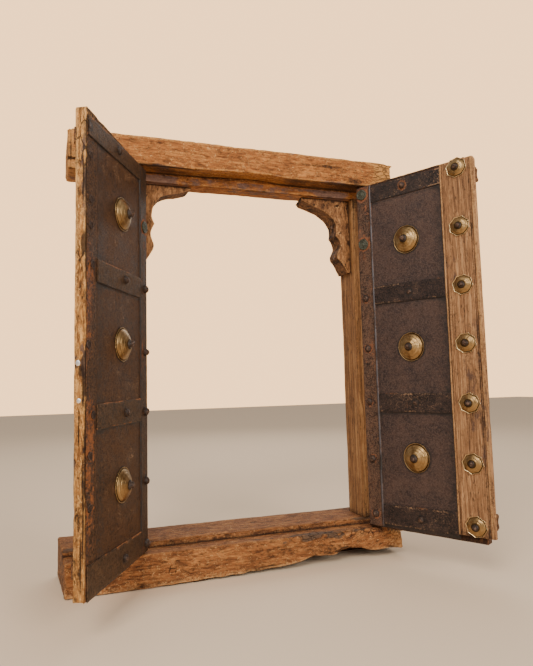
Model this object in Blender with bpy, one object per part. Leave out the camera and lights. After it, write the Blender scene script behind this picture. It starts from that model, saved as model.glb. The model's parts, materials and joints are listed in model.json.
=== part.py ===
"""Jharokha window: a timber frame with two carved corner brackets and a pair of
iron-clad pivot-hung shutters, standing open.

Metres, +Z up, the room side at -Y. X = 0 is midway between the two pivots, Y = 0 is
the middle of the frame's depth and Z = 0 is the underside of the sill.
A shutter's own axes are s, from the pivot towards the meeting edge, and n, out of
the iron-clad face, which looks to the street when the shutter is closed.
"""
import bpy
import bmesh
import math
from mathutils import Matrix, Vector

# Frame
FRAME_DEPTH = 0.112
PIVOT_SPAN = 0.372
LEFT_HORN = 0.101
LINTEL_RIGHT_HORN = 0.056
SILL_RIGHT_HORN = 0.044
LINTEL_END_SKEW = 0.006
SILL_END_SKEW = 0.013
SILL_FRONT_HEIGHT = 0.0475
SILL_STOP_HEIGHT = 0.0095
LINTEL_FASCIA_HEIGHT = 0.045
LINTEL_STEP_HEIGHT = 0.014
REBATE_DEPTH = 0.031
SOFFIT_DEPTH = 0.033
LINTEL_OUTER_REBATE = 0.020
JAMB_WIDTH = 0.062
JAMB_REVEAL_DEPTH = 0.053
JAMB_OUTER_REBATE = 0.016
LEFT_REVEAL_INSET = 0.004
RIGHT_REVEAL_INSET = 0.0085
EDGE_WEAR = 0.003

# Wear along the underside of the sill's front edge
SILL_RISE = 0.010
SILL_RISE_DEPTH = 0.005
BITE_DEPTH = 0.009
BITES = ((0.086, 0.008, 0.014), (0.134, 0.012, 0.013))
SILL_RIGHT_END_DROP = 0.008

# Stations along the two rails
LINTEL_STATIONS = 15
SILL_STATIONS = 46

# Shutters
SHUTTER_HEIGHT = 0.560
SHUTTER_CLEARANCE = 0.0015
BOARD_THICKNESS = 0.014
PIVOT_SETBACK = 0.0075
PIVOT_EDGE = 0.006
MEETING_GAP = 0.004
PIN_RADIUS = 0.0045
PIN_LENGTH = 0.012
SOCKET_CLEARANCE = 0.0006
PIN_SIDES = 16
SOCKET_SIDES = 20
LEFT_OPEN_DEG = 116.9
RIGHT_OPEN_DEG = 120.1
BOARD_MARGIN = 0.002
CORNER_WEAR = 0.007
EDGE_WAVES = 2.6
BOARD_STEPS = 12

# Iron cladding. Places up the shutter are shares of its height, from its bottom
SHEET_THICKNESS = 0.0006
STRIP_THICKNESS = 0.0014
STRAP_THICKNESS = 0.0012
HINGE_STRIP_WIDTH = 0.0240
BEAD_WIDTH = 0.0030
BEAD_HEIGHT = 0.0026
EDGE_STRIP_WIDTH = 0.0265
STRAP_WIDTHS = (0.0275, 0.0290, 0.0305, 0.0320)
STRAP_PLACES = (0.9670, 0.6625, 0.3536, 0.0348)
STRAP_NAILS_LEFT = (0.096, 0.075, 0.074, 0.079)
STRAP_NAILS_RIGHT = (0.080, 0.083, 0.085, 0.085)
STRAP_NAIL_RADIUS = 0.0048
STRAP_NAIL_HEIGHT = 0.0034
LEFT_HINGE_NAIL_PLACES = (0.6670, 0.5027, 0.3509, 0.1782, 0.0250)
RIGHT_HINGE_NAIL_PLACES = (0.6575, 0.5089, 0.3550, 0.1907, 0.0375)
HINGE_NAIL_RADIUS = 0.0044
HINGE_NAIL_HEIGHT = 0.0036
HINGE_NAIL_INSET = 0.010
NAIL_SIDES = 10
NAIL_RINGS = 3
LEFT_WASHER_PLACES = (0.8313,)
RIGHT_WASHER_PLACES = (0.9732, 0.8214)
WASHER_RADIUS = 0.0092
WASHER_HEIGHT = 0.0018
WASHER_SIDES = 18
WASHER_PROFILE = ((1, 0), (1, 0.55), (0.72, 1), (0, 1))
SEAT_GAP = 0.0003

# Brass bosses. A profile lists shares of the radius and the height, rim to crown
BOSS_RADIUS = 0.0225
BOSS_HEIGHT = 0.0080
BOSS_SIDES = 24
BOSS_PROFILE = ((1, 0), (1, 0.10), (0.86, 0.26), (0.74, 0.34), (0.66, 0.58), (0.50, 0.80),
                (0.28, 1), (0, 1))
BOSS_INSET = 0.0880
LEFT_BOSS_PLACES = (0.8241, 0.5134, 0.1920)
RIGHT_BOSS_PLACES = (0.8107, 0.5063, 0.2018)
BOSS_NAIL_RADIUS = 0.0056
BOSS_NAIL_HEIGHT = 0.0042
BOSS_NAIL_SIDES = 12
BOSS_NAIL_PROFILE = ((0.8, 0), (1, 0.3), (0.8, 0.78), (0.4, 1), (0, 1))
FLOWER_RADIUS = 0.0143
FLOWER_HEIGHT = 0.0034
FLOWER_PETALS = 8
FLOWER_PROFILE = ((1, 0), (1, 0.30), (0.62, 0.72), (0.34, 1), (0, 1))
FLOWER_PLACES = (0.9705, 0.8125, 0.6571, 0.5054, 0.3518, 0.2000, 0.0455)
PETAL_RIPPLE = 0.16
FLOWER_NAIL_RADIUS = 0.0042
FLOWER_NAIL_HEIGHT = 0.0022
FLOWER_NAIL_PROFILE = ((1, 0), (0.9, 0.6), (0.5, 1), (0, 1))

# Meeting strip of the right shutter
ASTRAGAL_WIDTH = 0.0530
ASTRAGAL_OVERLAP = 0.0105
ASTRAGAL_THICKNESS = 0.0090
ASTRAGAL_TOP_SETBACK = 0.0045
ASTRAGAL_BOTTOM_SETBACK = 0.0112
ASTRAGAL_RELIEF = 0.0030
GROOVE_WIDTH = 0.0016
GROOVE_DEPTH = 0.0014

# Battens across the backs of the shutters
BATTEN_WIDTH = 0.0230
BATTEN_THICKNESS = 0.0110
BATTEN_PLACES = (0.9571, 0.0509)
LEFT_BATTEN_END = -0.0180
RIGHT_BATTEN_END = 0.0055

# Corner brackets
LEFT_BRACKET_REACH = 0.0830
RIGHT_BRACKET_REACH = 0.0890
BRACKET_DROP = 0.1265
BRACKET_SETBACK = 0.0095
BRACKET_THICKNESS = 0.0400
BRACKET_TIP = 0.0030
BRACKET_CROWN = 0.0200
LEFT_BRACKET_NECK = 0.0185
RIGHT_BRACKET_NECK = 0.0227
BRACKET_CUSP = 0.0022
BRACKET_HOLLOW = 0.0062

# Heights and depths that follow from the sizes above
FRONT = -FRAME_DEPTH / 2
BACK = FRAME_DEPTH / 2
REBATE = FRONT + REBATE_DEPTH
SOFFIT_BACK = REBATE + SOFFIT_DEPTH
REVEAL_BACK = REBATE + JAMB_REVEAL_DEPTH
PIVOT_Y = FRONT + PIVOT_SETBACK
TREAD = SILL_FRONT_HEIGHT + SILL_STOP_HEIGHT
BOARD_BOTTOM = SILL_FRONT_HEIGHT + SHUTTER_CLEARANCE
BOARD_TOP = BOARD_BOTTOM + SHUTTER_HEIGHT
FASCIA_BOTTOM = BOARD_TOP + SHUTTER_CLEARANCE
STEP_BOTTOM = FASCIA_BOTTOM - LINTEL_STEP_HEIGHT
LINTEL_TOP = FASCIA_BOTTOM + LINTEL_FASCIA_HEIGHT
OUTER_SOFFIT = STEP_BOTTOM + LINTEL_OUTER_REBATE
BOARD_FACE = BOARD_THICKNESS / 2
MEETING_EDGE = (PIVOT_SPAN - MEETING_GAP) / 2
SHEET_BASE = BOARD_FACE + SEAT_GAP
SHEET_FACE = SHEET_BASE + SHEET_THICKNESS
STRIP_FACE = SHEET_BASE + STRIP_THICKNESS
STRAP_BASE = SHEET_FACE + SEAT_GAP
STRAP_FACE = STRAP_BASE + STRAP_THICKNESS
STRIP_INNER_EDGE = HINGE_STRIP_WIDTH - PIVOT_EDGE + SEAT_GAP
ASTRAGAL_FACE = SHEET_BASE + ASTRAGAL_THICKNESS
ASTRAGAL_OUTER = MEETING_EDGE + MEETING_GAP + ASTRAGAL_OVERLAP
ASTRAGAL_INNER = ASTRAGAL_OUTER - ASTRAGAL_WIDTH
LEFT_STRIP_INNER = MEETING_EDGE - EDGE_STRIP_WIDTH


def clear_scene():
    for thing in list(bpy.data.objects):
        bpy.data.objects.remove(thing, do_unlink=True)


def material(name, colour, roughness, metallic=0.0):
    """A plain Principled material with the piece's own colour."""
    made = bpy.data.materials.new(name)
    made.use_nodes = True
    shader = made.node_tree.nodes["Principled BSDF"]
    shader.inputs["Base Color"].default_value = (*colour, 1.0)
    shader.inputs["Roughness"].default_value = roughness
    shader.inputs["Metallic"].default_value = metallic
    made.diffuse_color = (*colour, 1.0)
    return made


WOOD_HEWN = ((0.42, 0.22, 0.10), 0.75, 0.0)
WOOD_JAMB = ((0.28, 0.14, 0.05), 0.70, 0.0)
WOOD_CARVED = ((0.31, 0.15, 0.06), 0.72, 0.0)
WOOD_BOARD = ((0.36, 0.18, 0.08), 0.75, 0.0)
WOOD_ASTRAGAL = ((0.38, 0.20, 0.09), 0.70, 0.0)
IRON_SHEET = ((0.070, 0.045, 0.036), 0.62, 0.6)
IRON_STRAP = ((0.060, 0.048, 0.042), 0.58, 0.7)
IRON_NAIL = ((0.050, 0.038, 0.032), 0.50, 0.8)
COPPER_GREEN = ((0.11, 0.13, 0.10), 0.60, 0.5)
BRASS = ((0.40, 0.28, 0.11), 0.38, 1.0)


def make(name, bm, finish, parent=None, smooth_deg=None):
    """Turn a closed bmesh into the named object, with its own material."""
    bmesh.ops.recalc_face_normals(bm, faces=bm.faces)
    mesh = bpy.data.meshes.new(name)
    bm.to_mesh(mesh)
    bm.free()
    if smooth_deg is not None:
        mesh.shade_smooth()
        mesh.set_sharp_from_angle(angle=math.radians(smooth_deg))
    thing = bpy.data.objects.new(name, mesh)
    bpy.context.collection.objects.link(thing)
    thing.parent = parent
    if finish is not None:
        mesh.materials.append(material(name + "_finish", *finish))
    return thing


def combine(target, tool_bm, operation):
    """Cut a hidden tool out of the target, or join it on, with an exact Boolean."""
    tool = make(f"{target.name}_{operation.lower()}_tool", tool_bm, None, target.parent)
    tool.hide_render = True
    tool.display_type = "WIRE"
    boolean = target.modifiers.new(operation.title(), "BOOLEAN")
    boolean.operation = operation
    boolean.solver = "EXACT"
    boolean.object = tool


def loft(sections):
    """A closed solid through rings of equally many points, its two ends capped."""
    bm = bmesh.new()
    rings = [[bm.verts.new(point) for point in section] for section in sections]
    for ring, following in zip(rings, rings[1:]):
        for index in range(len(ring)):
            after = (index + 1) % len(ring)
            bm.faces.new((ring[index], ring[after], following[after], following[index]))
    bm.faces.new(reversed(rings[0]))
    bm.faces.new(rings[-1])
    return bm


def box(low, high):
    """A rectangular solid between two corners."""
    bm = bmesh.new()
    centre = (Vector(low) + Vector(high)) / 2
    size = Vector(high) - Vector(low)
    placing = Matrix.Translation(centre) @ Matrix.Diagonal((*size, 1.0))
    bmesh.ops.create_cube(bm, size=1.0, matrix=placing)
    return bm


def cylinder(centre, radius, low, high, sides):
    """An upright round bar from one height to another."""
    ring = [(centre[0] + radius * math.cos(turn), centre[1] + radius * math.sin(turn))
            for turn in (2 * math.pi * k / sides for k in range(sides))]
    return loft([[(x, y, z) for x, y in ring] for z in (low, high)])


def up_shutter(place):
    """Height above the sill's underside of a place up the shutter."""
    return BOARD_BOTTOM + place * SHUTTER_HEIGHT


def scaled(profile, radius, height):
    """A profile of shares brought to its real radius and height."""
    return [(r * radius, h * height) for r, h in profile]


def turned(hand, s, z, base, profile, sides, ripple=0.0, lobes=0):
    """A turned solid on a shutter's face. The profile lists radius and height from
    the rim to the crown; its last point is the crown itself. With lobes, the outer
    rings swell and shrink around the rim by the given share, for petals."""
    bm = bmesh.new()
    rings = []
    for level, (radius, height) in enumerate(profile[:-1]):
        fade = max(0.0, 1.0 - level / (len(profile) - 2))
        ring = []
        for k in range(sides):
            turn = 2 * math.pi * k / sides
            wave = abs(math.cos(lobes * turn / 2)) if lobes else 0.0
            reach = radius * (1.0 - ripple * fade * (1.0 - wave))
            place = (hand * (s + reach * math.cos(turn)), base + height, z + reach * math.sin(turn))
            ring.append(bm.verts.new(place))
        rings.append(ring)
    for ring, following in zip(rings, rings[1:]):
        for k in range(sides):
            after = (k + 1) % sides
            bm.faces.new((ring[k], ring[after], following[after], following[k]))
    bm.faces.new(rings[0])
    crown = bm.verts.new((hand * s, base + profile[-1][1], z))
    for k in range(sides):
        bm.faces.new((rings[-1][k], rings[-1][(k + 1) % sides], crown))
    return bm


def dome_profile(radius, height, rings):
    """Radius and height of a low round head, from its rim to its crown."""
    steps = [math.pi / 2 * k / rings for k in range(rings + 1)]
    return [(radius * math.cos(step), height * math.sin(step)) for step in steps]


def smooth_step(low, high, value):
    """0 below low, 1 above high, and a smooth rise between them."""
    share = min(1.0, max(0.0, (value - low) / (high - low)))
    return share * share * (3 - 2 * share)


def stations(start, end, count):
    return [start + (end - start) * k / (count - 1) for k in range(count)]


def end_skew(x, y, start, skew):
    """How far an obliquely sawn left end reaches outward at this depth."""
    nearness = 1.0 - smooth_step(start, start + 2 * LEFT_HORN / 3, x)
    return -skew * nearness * (y - FRONT) / FRAME_DEPTH


def sockets(low, high):
    """Tool for the two round sockets that the shutters' pins turn in."""
    radius = PIN_RADIUS + SOCKET_CLEARANCE
    bm = bmesh.new()
    for side in (-1, 1):
        hole = cylinder((side * PIVOT_SPAN / 2, PIVOT_Y), radius, low, high, SOCKET_SIDES)
        part = bpy.data.meshes.new("socket")
        hole.to_mesh(part)
        hole.free()
        bm.from_mesh(part)
        bpy.data.meshes.remove(part)
    return bm


def build_lintel():
    """Head rail: proud fascia, rebate for the shutters, step, soffit, outer rebate."""
    start = -PIVOT_SPAN / 2 - LEFT_HORN
    end = PIVOT_SPAN / 2 + LINTEL_RIGHT_HORN
    wear = EDGE_WEAR
    outline = [
        (FRONT, LINTEL_TOP - wear), (FRONT, FASCIA_BOTTOM + wear), (FRONT + wear / 2, FASCIA_BOTTOM),
        (REBATE, FASCIA_BOTTOM), (REBATE, STEP_BOTTOM + wear / 3), (REBATE + wear / 3, STEP_BOTTOM),
        (SOFFIT_BACK, STEP_BOTTOM), (SOFFIT_BACK, OUTER_SOFFIT), (BACK, OUTER_SOFFIT),
        (BACK, LINTEL_TOP - wear), (BACK - wear, LINTEL_TOP), (FRONT + wear, LINTEL_TOP),
    ]
    sections = []
    for x in stations(start, end, LINTEL_STATIONS):
        sections.append([(x + end_skew(x, y, start, LINTEL_END_SKEW), y, z) for y, z in outline])
    lintel = make("lintel", loft(sections), WOOD_HEWN)
    combine(lintel, sockets(FASCIA_BOTTOM - PIN_LENGTH, FASCIA_BOTTOM + PIN_LENGTH), "DIFFERENCE")


def sill_wear(x):
    """Rise and depth of the worn front bottom edge at this place along the sill."""
    rise = EDGE_WEAR / 2 + SILL_RISE * smooth_step(-PIVOT_SPAN / 2, PIVOT_SPAN / 2, x)
    depth = EDGE_WEAR / 2 + SILL_RISE_DEPTH * smooth_step(-PIVOT_SPAN / 2, PIVOT_SPAN / 2, x)
    for centre, bite, half_width in BITES:
        swell = math.exp(-((x - centre) / half_width) ** 2)
        rise += bite * swell
        depth += BITE_DEPTH * swell
    return rise, depth


def build_sill():
    """Foot rail: front edge worn away and bitten on the right, stop for the shutters."""
    start = -PIVOT_SPAN / 2 - LEFT_HORN
    end = PIVOT_SPAN / 2 + SILL_RIGHT_HORN
    wear = EDGE_WEAR
    sections = []
    for x in stations(start, end, SILL_STATIONS):
        rise, depth = sill_wear(x)
        drop = SILL_RIGHT_END_DROP * smooth_step(PIVOT_SPAN / 2 + 2 * PIVOT_EDGE, end, x)
        top = SILL_FRONT_HEIGHT - drop
        tread = TREAD - drop
        outline = [
            (FRONT + depth, 0.0), (FRONT, rise), (FRONT, top - wear), (FRONT + wear, top),
            (REBATE, top), (REBATE, tread - wear / 3), (REBATE + wear / 3, tread),
            (BACK - wear, tread), (BACK, tread - wear), (BACK, 0.0),
        ]
        sections.append([(x + end_skew(x, y, start, SILL_END_SKEW), y, z) for y, z in outline])
    sill = make("sill", loft(sections), WOOD_HEWN)
    combine(sill, sockets(SILL_FRONT_HEIGHT - PIN_LENGTH, SILL_FRONT_HEIGHT + PIN_LENGTH), "DIFFERENCE")


def reveal_x(side):
    """Where the reveal of the left (-1) or right (1) jamb stands."""
    inset = LEFT_REVEAL_INSET if side < 0 else RIGHT_REVEAL_INSET
    return side * (PIVOT_SPAN / 2 - inset)


def build_jamb(side, name):
    """Side post between sill and lintel, stepped back on its outer face."""
    inner = reveal_x(side)
    outer = inner + side * JAMB_WIDTH
    stepped = inner + side * JAMB_OUTER_REBATE
    wear = EDGE_WEAR / 2
    plan = [
        (inner, REBATE + wear), (inner + side * wear, REBATE), (outer, REBATE), (outer, BACK),
        (stepped, BACK), (stepped, REVEAL_BACK), (inner, REVEAL_BACK),
    ]
    low = TREAD + SEAT_GAP
    high = OUTER_SOFFIT - SEAT_GAP
    jamb = make(name, loft([[(x, y, z) for x, y in plan] for z in (low, high)]), WOOD_JAMB)
    margin = JAMB_WIDTH
    cut_low = (min(inner, outer) - margin, REBATE - margin, STEP_BOTTOM - SEAT_GAP)
    cut_high = (max(inner, outer) + margin, SOFFIT_BACK + SEAT_GAP, OUTER_SOFFIT + margin)
    combine(jamb, box(cut_low, cut_high), "DIFFERENCE")


def arc(start, through, end, count):
    """Points of the circular arc through three points, leaving the first one out."""
    a, b, c = (complex(*point) for point in (start, through, end))
    w = (c - a) / (b - a)
    centre = (b - a) * (w - abs(w) ** 2) / (2j * w.imag) + a
    radius = abs(a - centre)
    turn_a = math.atan2((a - centre).imag, (a - centre).real)
    turn_c = math.atan2((c - centre).imag, (c - centre).real)
    cross = ((b - a).conjugate() * (c - b)).imag
    sweep = (turn_c - turn_a) % (2 * math.pi) if cross > 0 else -((turn_a - turn_c) % (2 * math.pi))
    turns = [turn_a + sweep * k / count for k in range(1, count + 1)]
    return [(centre.real + radius * math.cos(t), centre.imag + radius * math.sin(t)) for t in turns]


def bracket_outline(reach, neck):
    """Cusped outline as distance from the jamb and drop below the soffit: a long
    tapering arm, a quarter-round down to the neck, a cusp, a hollow and a nose."""
    drop, crown = BRACKET_DROP, BRACKET_CROWN
    tip = (0.985 * reach, BRACKET_TIP)
    spring = (0.47 * reach, crown)
    neck_point = (neck, 0.41 * drop)
    cusp = (neck + BRACKET_CUSP, 0.485 * drop)
    hollow = (neck - BRACKET_HOLLOW, 0.61 * drop)
    nose = (neck + BRACKET_CUSP, 0.765 * drop)
    chin = (0.66 * neck, 0.86 * drop)
    points = [(0.0, 0.0), (reach, 0.0), tip]
    points += arc(tip, (0.74 * reach, 0.54 * crown), spring, 4)
    points += arc(spring, (neck + 0.055 * reach, 0.26 * drop), neck_point, 7)
    points += [cusp]
    points += arc(cusp, hollow, nose, 7)
    points += arc(nose, (neck + 0.2 * BRACKET_CUSP, 0.81 * drop), chin, 3)
    points += arc(chin, (0.36 * neck, 0.92 * drop), (0.24 * neck, drop), 3)
    points += [(0.0, drop)]
    return points


def build_bracket(side, name, reach, neck):
    """Carved corner bracket, set back under the lintel and against the jamb."""
    inner = reveal_x(side) - side * SEAT_GAP
    top = STEP_BOTTOM - SEAT_GAP
    front = REBATE + BRACKET_SETBACK
    back = front + BRACKET_THICKNESS
    outline = bracket_outline(reach, neck)
    sections = [[(inner - side * u, y, top - v) for u, v in outline] for y in (front, back)]
    make(name, loft(sections), WOOD_CARVED)


def pivot(name, side, angle_deg):
    """Empty on the upright pivot axis, turned to the shutter's standing angle."""
    axis = bpy.data.objects.new(name, None)
    bpy.context.collection.objects.link(axis)
    axis.location = (side * PIVOT_SPAN / 2, PIVOT_Y, 0.0)
    axis.rotation_euler = (0.0, 0.0, math.radians(angle_deg))
    return axis


def free_edge_wave(z):
    """Slight hollowing of the hand-worn meeting edge."""
    share = (z - BOARD_BOTTOM) / SHUTTER_HEIGHT
    return BOARD_MARGIN / 3 * (1 - math.cos(2 * math.pi * EDGE_WAVES * share)) / 2


def build_board(hand, name, parent):
    """Plank of the shutter with its two pivot pins and a worn top corner."""
    half = BOARD_FACE
    soft = BOARD_THICKNESS / 8
    sections = []
    heights = [up_shutter(k / BOARD_STEPS) for k in range(BOARD_STEPS)]
    heights += [BOARD_TOP - CORNER_WEAR, BOARD_TOP - CORNER_WEAR / 3, BOARD_TOP]
    for z in heights:
        corner = CORNER_WEAR * max(0.0, (z - BOARD_TOP + CORNER_WEAR) / CORNER_WEAR) ** 2
        edge = MEETING_EDGE - free_edge_wave(z) - corner
        plan = [(-PIVOT_EDGE, -half + soft), (soft - PIVOT_EDGE, -half), (edge - soft, -half),
                (edge, -half + soft), (edge, half - soft), (edge - soft, half),
                (soft - PIVOT_EDGE, half), (-PIVOT_EDGE, half - soft)]
        sections.append([(hand * s, n, z) for s, n in plan])
    board = make(name, loft(sections), WOOD_BOARD, parent)
    for low, high in ((BOARD_BOTTOM - PIN_LENGTH + SHUTTER_CLEARANCE, BOARD_BOTTOM + PIN_LENGTH),
                      (BOARD_TOP - PIN_LENGTH, BOARD_TOP + PIN_LENGTH - SHUTTER_CLEARANCE)):
        combine(board, cylinder((0.0, 0.0), PIN_RADIUS, low, high, PIN_SIDES), "UNION")


def plate(hand, name, finish, parent, s_range, z_range, n_range):
    """Flat iron plate on the shutter's face."""
    low = (hand * s_range[0], n_range[0], z_range[0])
    high = (hand * s_range[1], n_range[1], z_range[1])
    corners = [tuple(min(a, b) for a, b in zip(low, high)), tuple(max(a, b) for a, b in zip(low, high))]
    return make(name, box(*corners), finish, parent)


def nail_head(hand, s, z, face, radius, height):
    """A domed nail head, sunk a little way into the plate that it holds."""
    sink = STRAP_THICKNESS / 2
    profile = [(radius, 0.0)] + [(r, h + sink) for r, h in dome_profile(radius, height, NAIL_RINGS)]
    return turned(hand, s, z, face - sink, profile, NAIL_SIDES)


def build_hinge_strip(hand, name, parent, nail_places):
    """Iron strip along the pivot edge, with a raised bead and a row of domed nails."""
    edge = HINGE_STRIP_WIDTH - PIVOT_EDGE
    bead_middle = edge - BEAD_WIDTH / 2
    plan = [(-PIVOT_EDGE + BOARD_THICKNESS / 16, SHEET_BASE), (edge, SHEET_BASE)]
    for k in range(6):
        turn = math.pi * k / 5
        plan.append((bead_middle + BEAD_WIDTH / 2 * math.cos(turn),
                     STRIP_FACE + (BEAD_HEIGHT - STRIP_THICKNESS) * math.sin(turn)))
    plan.append((-PIVOT_EDGE + BOARD_THICKNESS / 16, STRIP_FACE))
    low = BOARD_BOTTOM + BOARD_MARGIN
    high = BOARD_TOP - BOARD_MARGIN
    strip = make(name, loft([[(hand * s, n, z) for s, n in plan] for z in (low, high)]),
                 IRON_STRAP, parent)
    s = HINGE_NAIL_INSET - PIVOT_EDGE
    for place in nail_places:
        combine(strip, nail_head(hand, s, up_shutter(place), STRIP_FACE,
                                 HINGE_NAIL_RADIUS, HINGE_NAIL_HEIGHT), "UNION")


def build_straps(hand, prefix, parent, nails, ends):
    """Four iron straps across the sheet, each held by one large domed nail."""
    for number in range(4):
        middle = up_shutter(STRAP_PLACES[number])
        low = middle - STRAP_WIDTHS[number] / 2
        high = middle + STRAP_WIDTHS[number] / 2
        strap = plate(hand, f"{prefix}_strap_{number + 1}", IRON_STRAP, parent,
                      (STRIP_INNER_EDGE, ends[number]), (low, high), (STRAP_BASE, STRAP_FACE))
        combine(strap, nail_head(hand, nails[number], middle, STRAP_FACE,
                                 STRAP_NAIL_RADIUS, STRAP_NAIL_HEIGHT), "UNION")


def build_washers(hand, prefix, parent, places):
    """Flat rivet washers on the hinge strip."""
    base = STRIP_FACE + SEAT_GAP
    profile = scaled(WASHER_PROFILE, WASHER_RADIUS, WASHER_HEIGHT)
    middle = (HINGE_STRIP_WIDTH - BEAD_WIDTH) / 2 - PIVOT_EDGE
    for number, place in enumerate(places):
        bm = turned(hand, middle, up_shutter(place), base, profile, WASHER_SIDES)
        make(f"{prefix}_washer_{number + 1}", bm, COPPER_GREEN, parent, 40)


def build_bosses(hand, prefix, parent, places):
    """Three ringed brass bosses down the middle of the panel, each with its nail."""
    base = SHEET_FACE + SEAT_GAP
    s = BOSS_INSET - PIVOT_EDGE
    profile = scaled(BOSS_PROFILE, BOSS_RADIUS, BOSS_HEIGHT)
    nail = scaled(BOSS_NAIL_PROFILE, BOSS_NAIL_RADIUS, BOSS_NAIL_HEIGHT)
    for number, place in enumerate(places):
        z = up_shutter(place)
        boss = turned(hand, s, z, base, profile, BOSS_SIDES)
        make(f"{prefix}_boss_{number + 1}", boss, BRASS, parent, 35)
        head = turned(hand, s, z, base + BOSS_HEIGHT + SEAT_GAP, nail, BOSS_NAIL_SIDES)
        make(f"{prefix}_boss_nail_{number + 1}", head, IRON_NAIL, parent, 50)


def build_flowers(hand, prefix, parent):
    """Seven eight-petalled brass flowers down the meeting strip, each with its nail."""
    base = ASTRAGAL_FACE + SEAT_GAP
    profile = scaled(FLOWER_PROFILE, FLOWER_RADIUS, FLOWER_HEIGHT)
    nail = scaled(FLOWER_NAIL_PROFILE, FLOWER_NAIL_RADIUS, FLOWER_NAIL_HEIGHT)
    middle = (ASTRAGAL_INNER + ASTRAGAL_OUTER) / 2
    for number, place in enumerate(FLOWER_PLACES):
        z = up_shutter(place)
        flower = turned(hand, middle, z, base, profile, 4 * FLOWER_PETALS,
                        PETAL_RIPPLE, FLOWER_PETALS)
        make(f"{prefix}_flower_{number + 1}", flower, BRASS, parent, 35)
        head = turned(hand, middle, z, base + FLOWER_HEIGHT + SEAT_GAP, nail, NAIL_SIDES)
        make(f"{prefix}_flower_nail_{number + 1}", head, IRON_NAIL, parent, 50)


def build_astragal(hand, name, parent):
    """Wooden meeting strip with a groove at each side and a rounded nose, which laps
    over the left shutter. The lapping part is relieved to clear that one's straps."""
    inner, outer, base, face = ASTRAGAL_INNER, ASTRAGAL_OUTER, SHEET_BASE, ASTRAGAL_FACE
    relief = base + ASTRAGAL_RELIEF
    nose = (face - relief) / 2
    plan = [(inner, base), (MEETING_EDGE, base), (MEETING_EDGE + SEAT_GAP, relief)]
    for k in range(5):
        turn = -math.pi / 2 + math.pi * k / 4
        plan.append((outer - nose + nose * math.cos(turn), relief + nose + nose * math.sin(turn)))
    for middle in (outer - nose - 2 * GROOVE_WIDTH, inner + 2 * GROOVE_WIDTH):
        plan += [(middle + GROOVE_WIDTH / 2, face), (middle, face - GROOVE_DEPTH),
                 (middle - GROOVE_WIDTH / 2, face)]
    plan.append((inner, face))
    low = BOARD_BOTTOM + ASTRAGAL_BOTTOM_SETBACK
    high = BOARD_TOP - ASTRAGAL_TOP_SETBACK
    sections = []
    for z, inset in ((low, 0.0), (high - CORNER_WEAR / 2, 0.0), (high, CORNER_WEAR / 3)):
        sections.append([(hand * min(s, outer - inset), n, z) for s, n in plan])
    make(name, loft(sections), WOOD_ASTRAGAL, parent)


def build_battens(hand, prefix, parent, end_offset):
    """Two wooden battens across the back of the shutter, their ends rounded off."""
    front = -BOARD_FACE - SEAT_GAP
    back = front - BATTEN_THICKNESS
    start = HINGE_STRIP_WIDTH - PIVOT_EDGE
    end = MEETING_EDGE + end_offset
    for end_name, place in zip(("top", "bottom"), BATTEN_PLACES):
        low = up_shutter(place) - BATTEN_WIDTH / 2
        plan = [(start, front), (start, back + EDGE_WEAR), (start + EDGE_WEAR, back)]
        plan += [(end - EDGE_WEAR, back), (end, back + EDGE_WEAR), (end, front)]
        sections = [[(hand * s, n, z) for s, n in plan] for z in (low, low + BATTEN_WIDTH)]
        make(f"{prefix}_batten_{end_name}", loft(sections), WOOD_BOARD, parent)


def build_shutter(side, prefix, open_deg):
    """One leaf with everything that is nailed to it."""
    hand = -side
    axis = pivot(prefix + "_pivot", side, side * open_deg)
    low = BOARD_BOTTOM + BOARD_MARGIN
    high = BOARD_TOP - BOARD_MARGIN
    right = side > 0
    sheet_end = ASTRAGAL_INNER - SEAT_GAP if right else LEFT_STRIP_INNER - SEAT_GAP
    build_board(hand, prefix + "_board", axis)
    plate(hand, prefix + "_sheet", IRON_SHEET, axis, (STRIP_INNER_EDGE, sheet_end), (low, high),
          (SHEET_BASE, SHEET_FACE))
    nail_places = RIGHT_HINGE_NAIL_PLACES if right else LEFT_HINGE_NAIL_PLACES
    build_hinge_strip(hand, prefix + "_hinge_strip", axis, nail_places)
    build_bosses(hand, prefix, axis, RIGHT_BOSS_PLACES if right else LEFT_BOSS_PLACES)
    if right:
        build_astragal(hand, prefix + "_astragal", axis)
        build_flowers(hand, prefix, axis)
        build_straps(hand, prefix, axis, STRAP_NAILS_RIGHT, (sheet_end,) * 4)
        build_washers(hand, prefix, axis, RIGHT_WASHER_PLACES)
        build_battens(hand, prefix, axis, RIGHT_BATTEN_END)
    else:
        worn_end = MEETING_EDGE - CORNER_WEAR / 2
        plate(hand, prefix + "_edge_strip", IRON_STRAP, axis,
              (LEFT_STRIP_INNER, MEETING_EDGE - BOARD_MARGIN), (low, high - CORNER_WEAR),
              (SHEET_BASE, SHEET_FACE))
        build_straps(hand, prefix, axis, STRAP_NAILS_LEFT, (worn_end, sheet_end, sheet_end, worn_end))
        build_washers(hand, prefix, axis, LEFT_WASHER_PLACES)
        build_battens(hand, prefix, axis, LEFT_BATTEN_END)


def main():
    clear_scene()
    build_lintel()
    build_sill()
    build_jamb(-1, "jamb_left")
    build_jamb(1, "jamb_right")
    build_bracket(-1, "bracket_left", LEFT_BRACKET_REACH, LEFT_BRACKET_NECK)
    build_bracket(1, "bracket_right", RIGHT_BRACKET_REACH, RIGHT_BRACKET_NECK)
    build_shutter(-1, "left", LEFT_OPEN_DEG)
    build_shutter(1, "right", RIGHT_OPEN_DEG)


main()
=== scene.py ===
"""Looks of the jharokha window: hewn and carved timber, iron-clad shutters, brass bosses.

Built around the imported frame. Metres, +Z up, the room side at -Y. A shutter's own axes
are s, from its pivot towards the meeting edge, n, out of its clad face, and z, upwards.
Wood is coloured in its own grain's axes: along the grain, across it and into it.
"""
import json
import math

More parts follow.
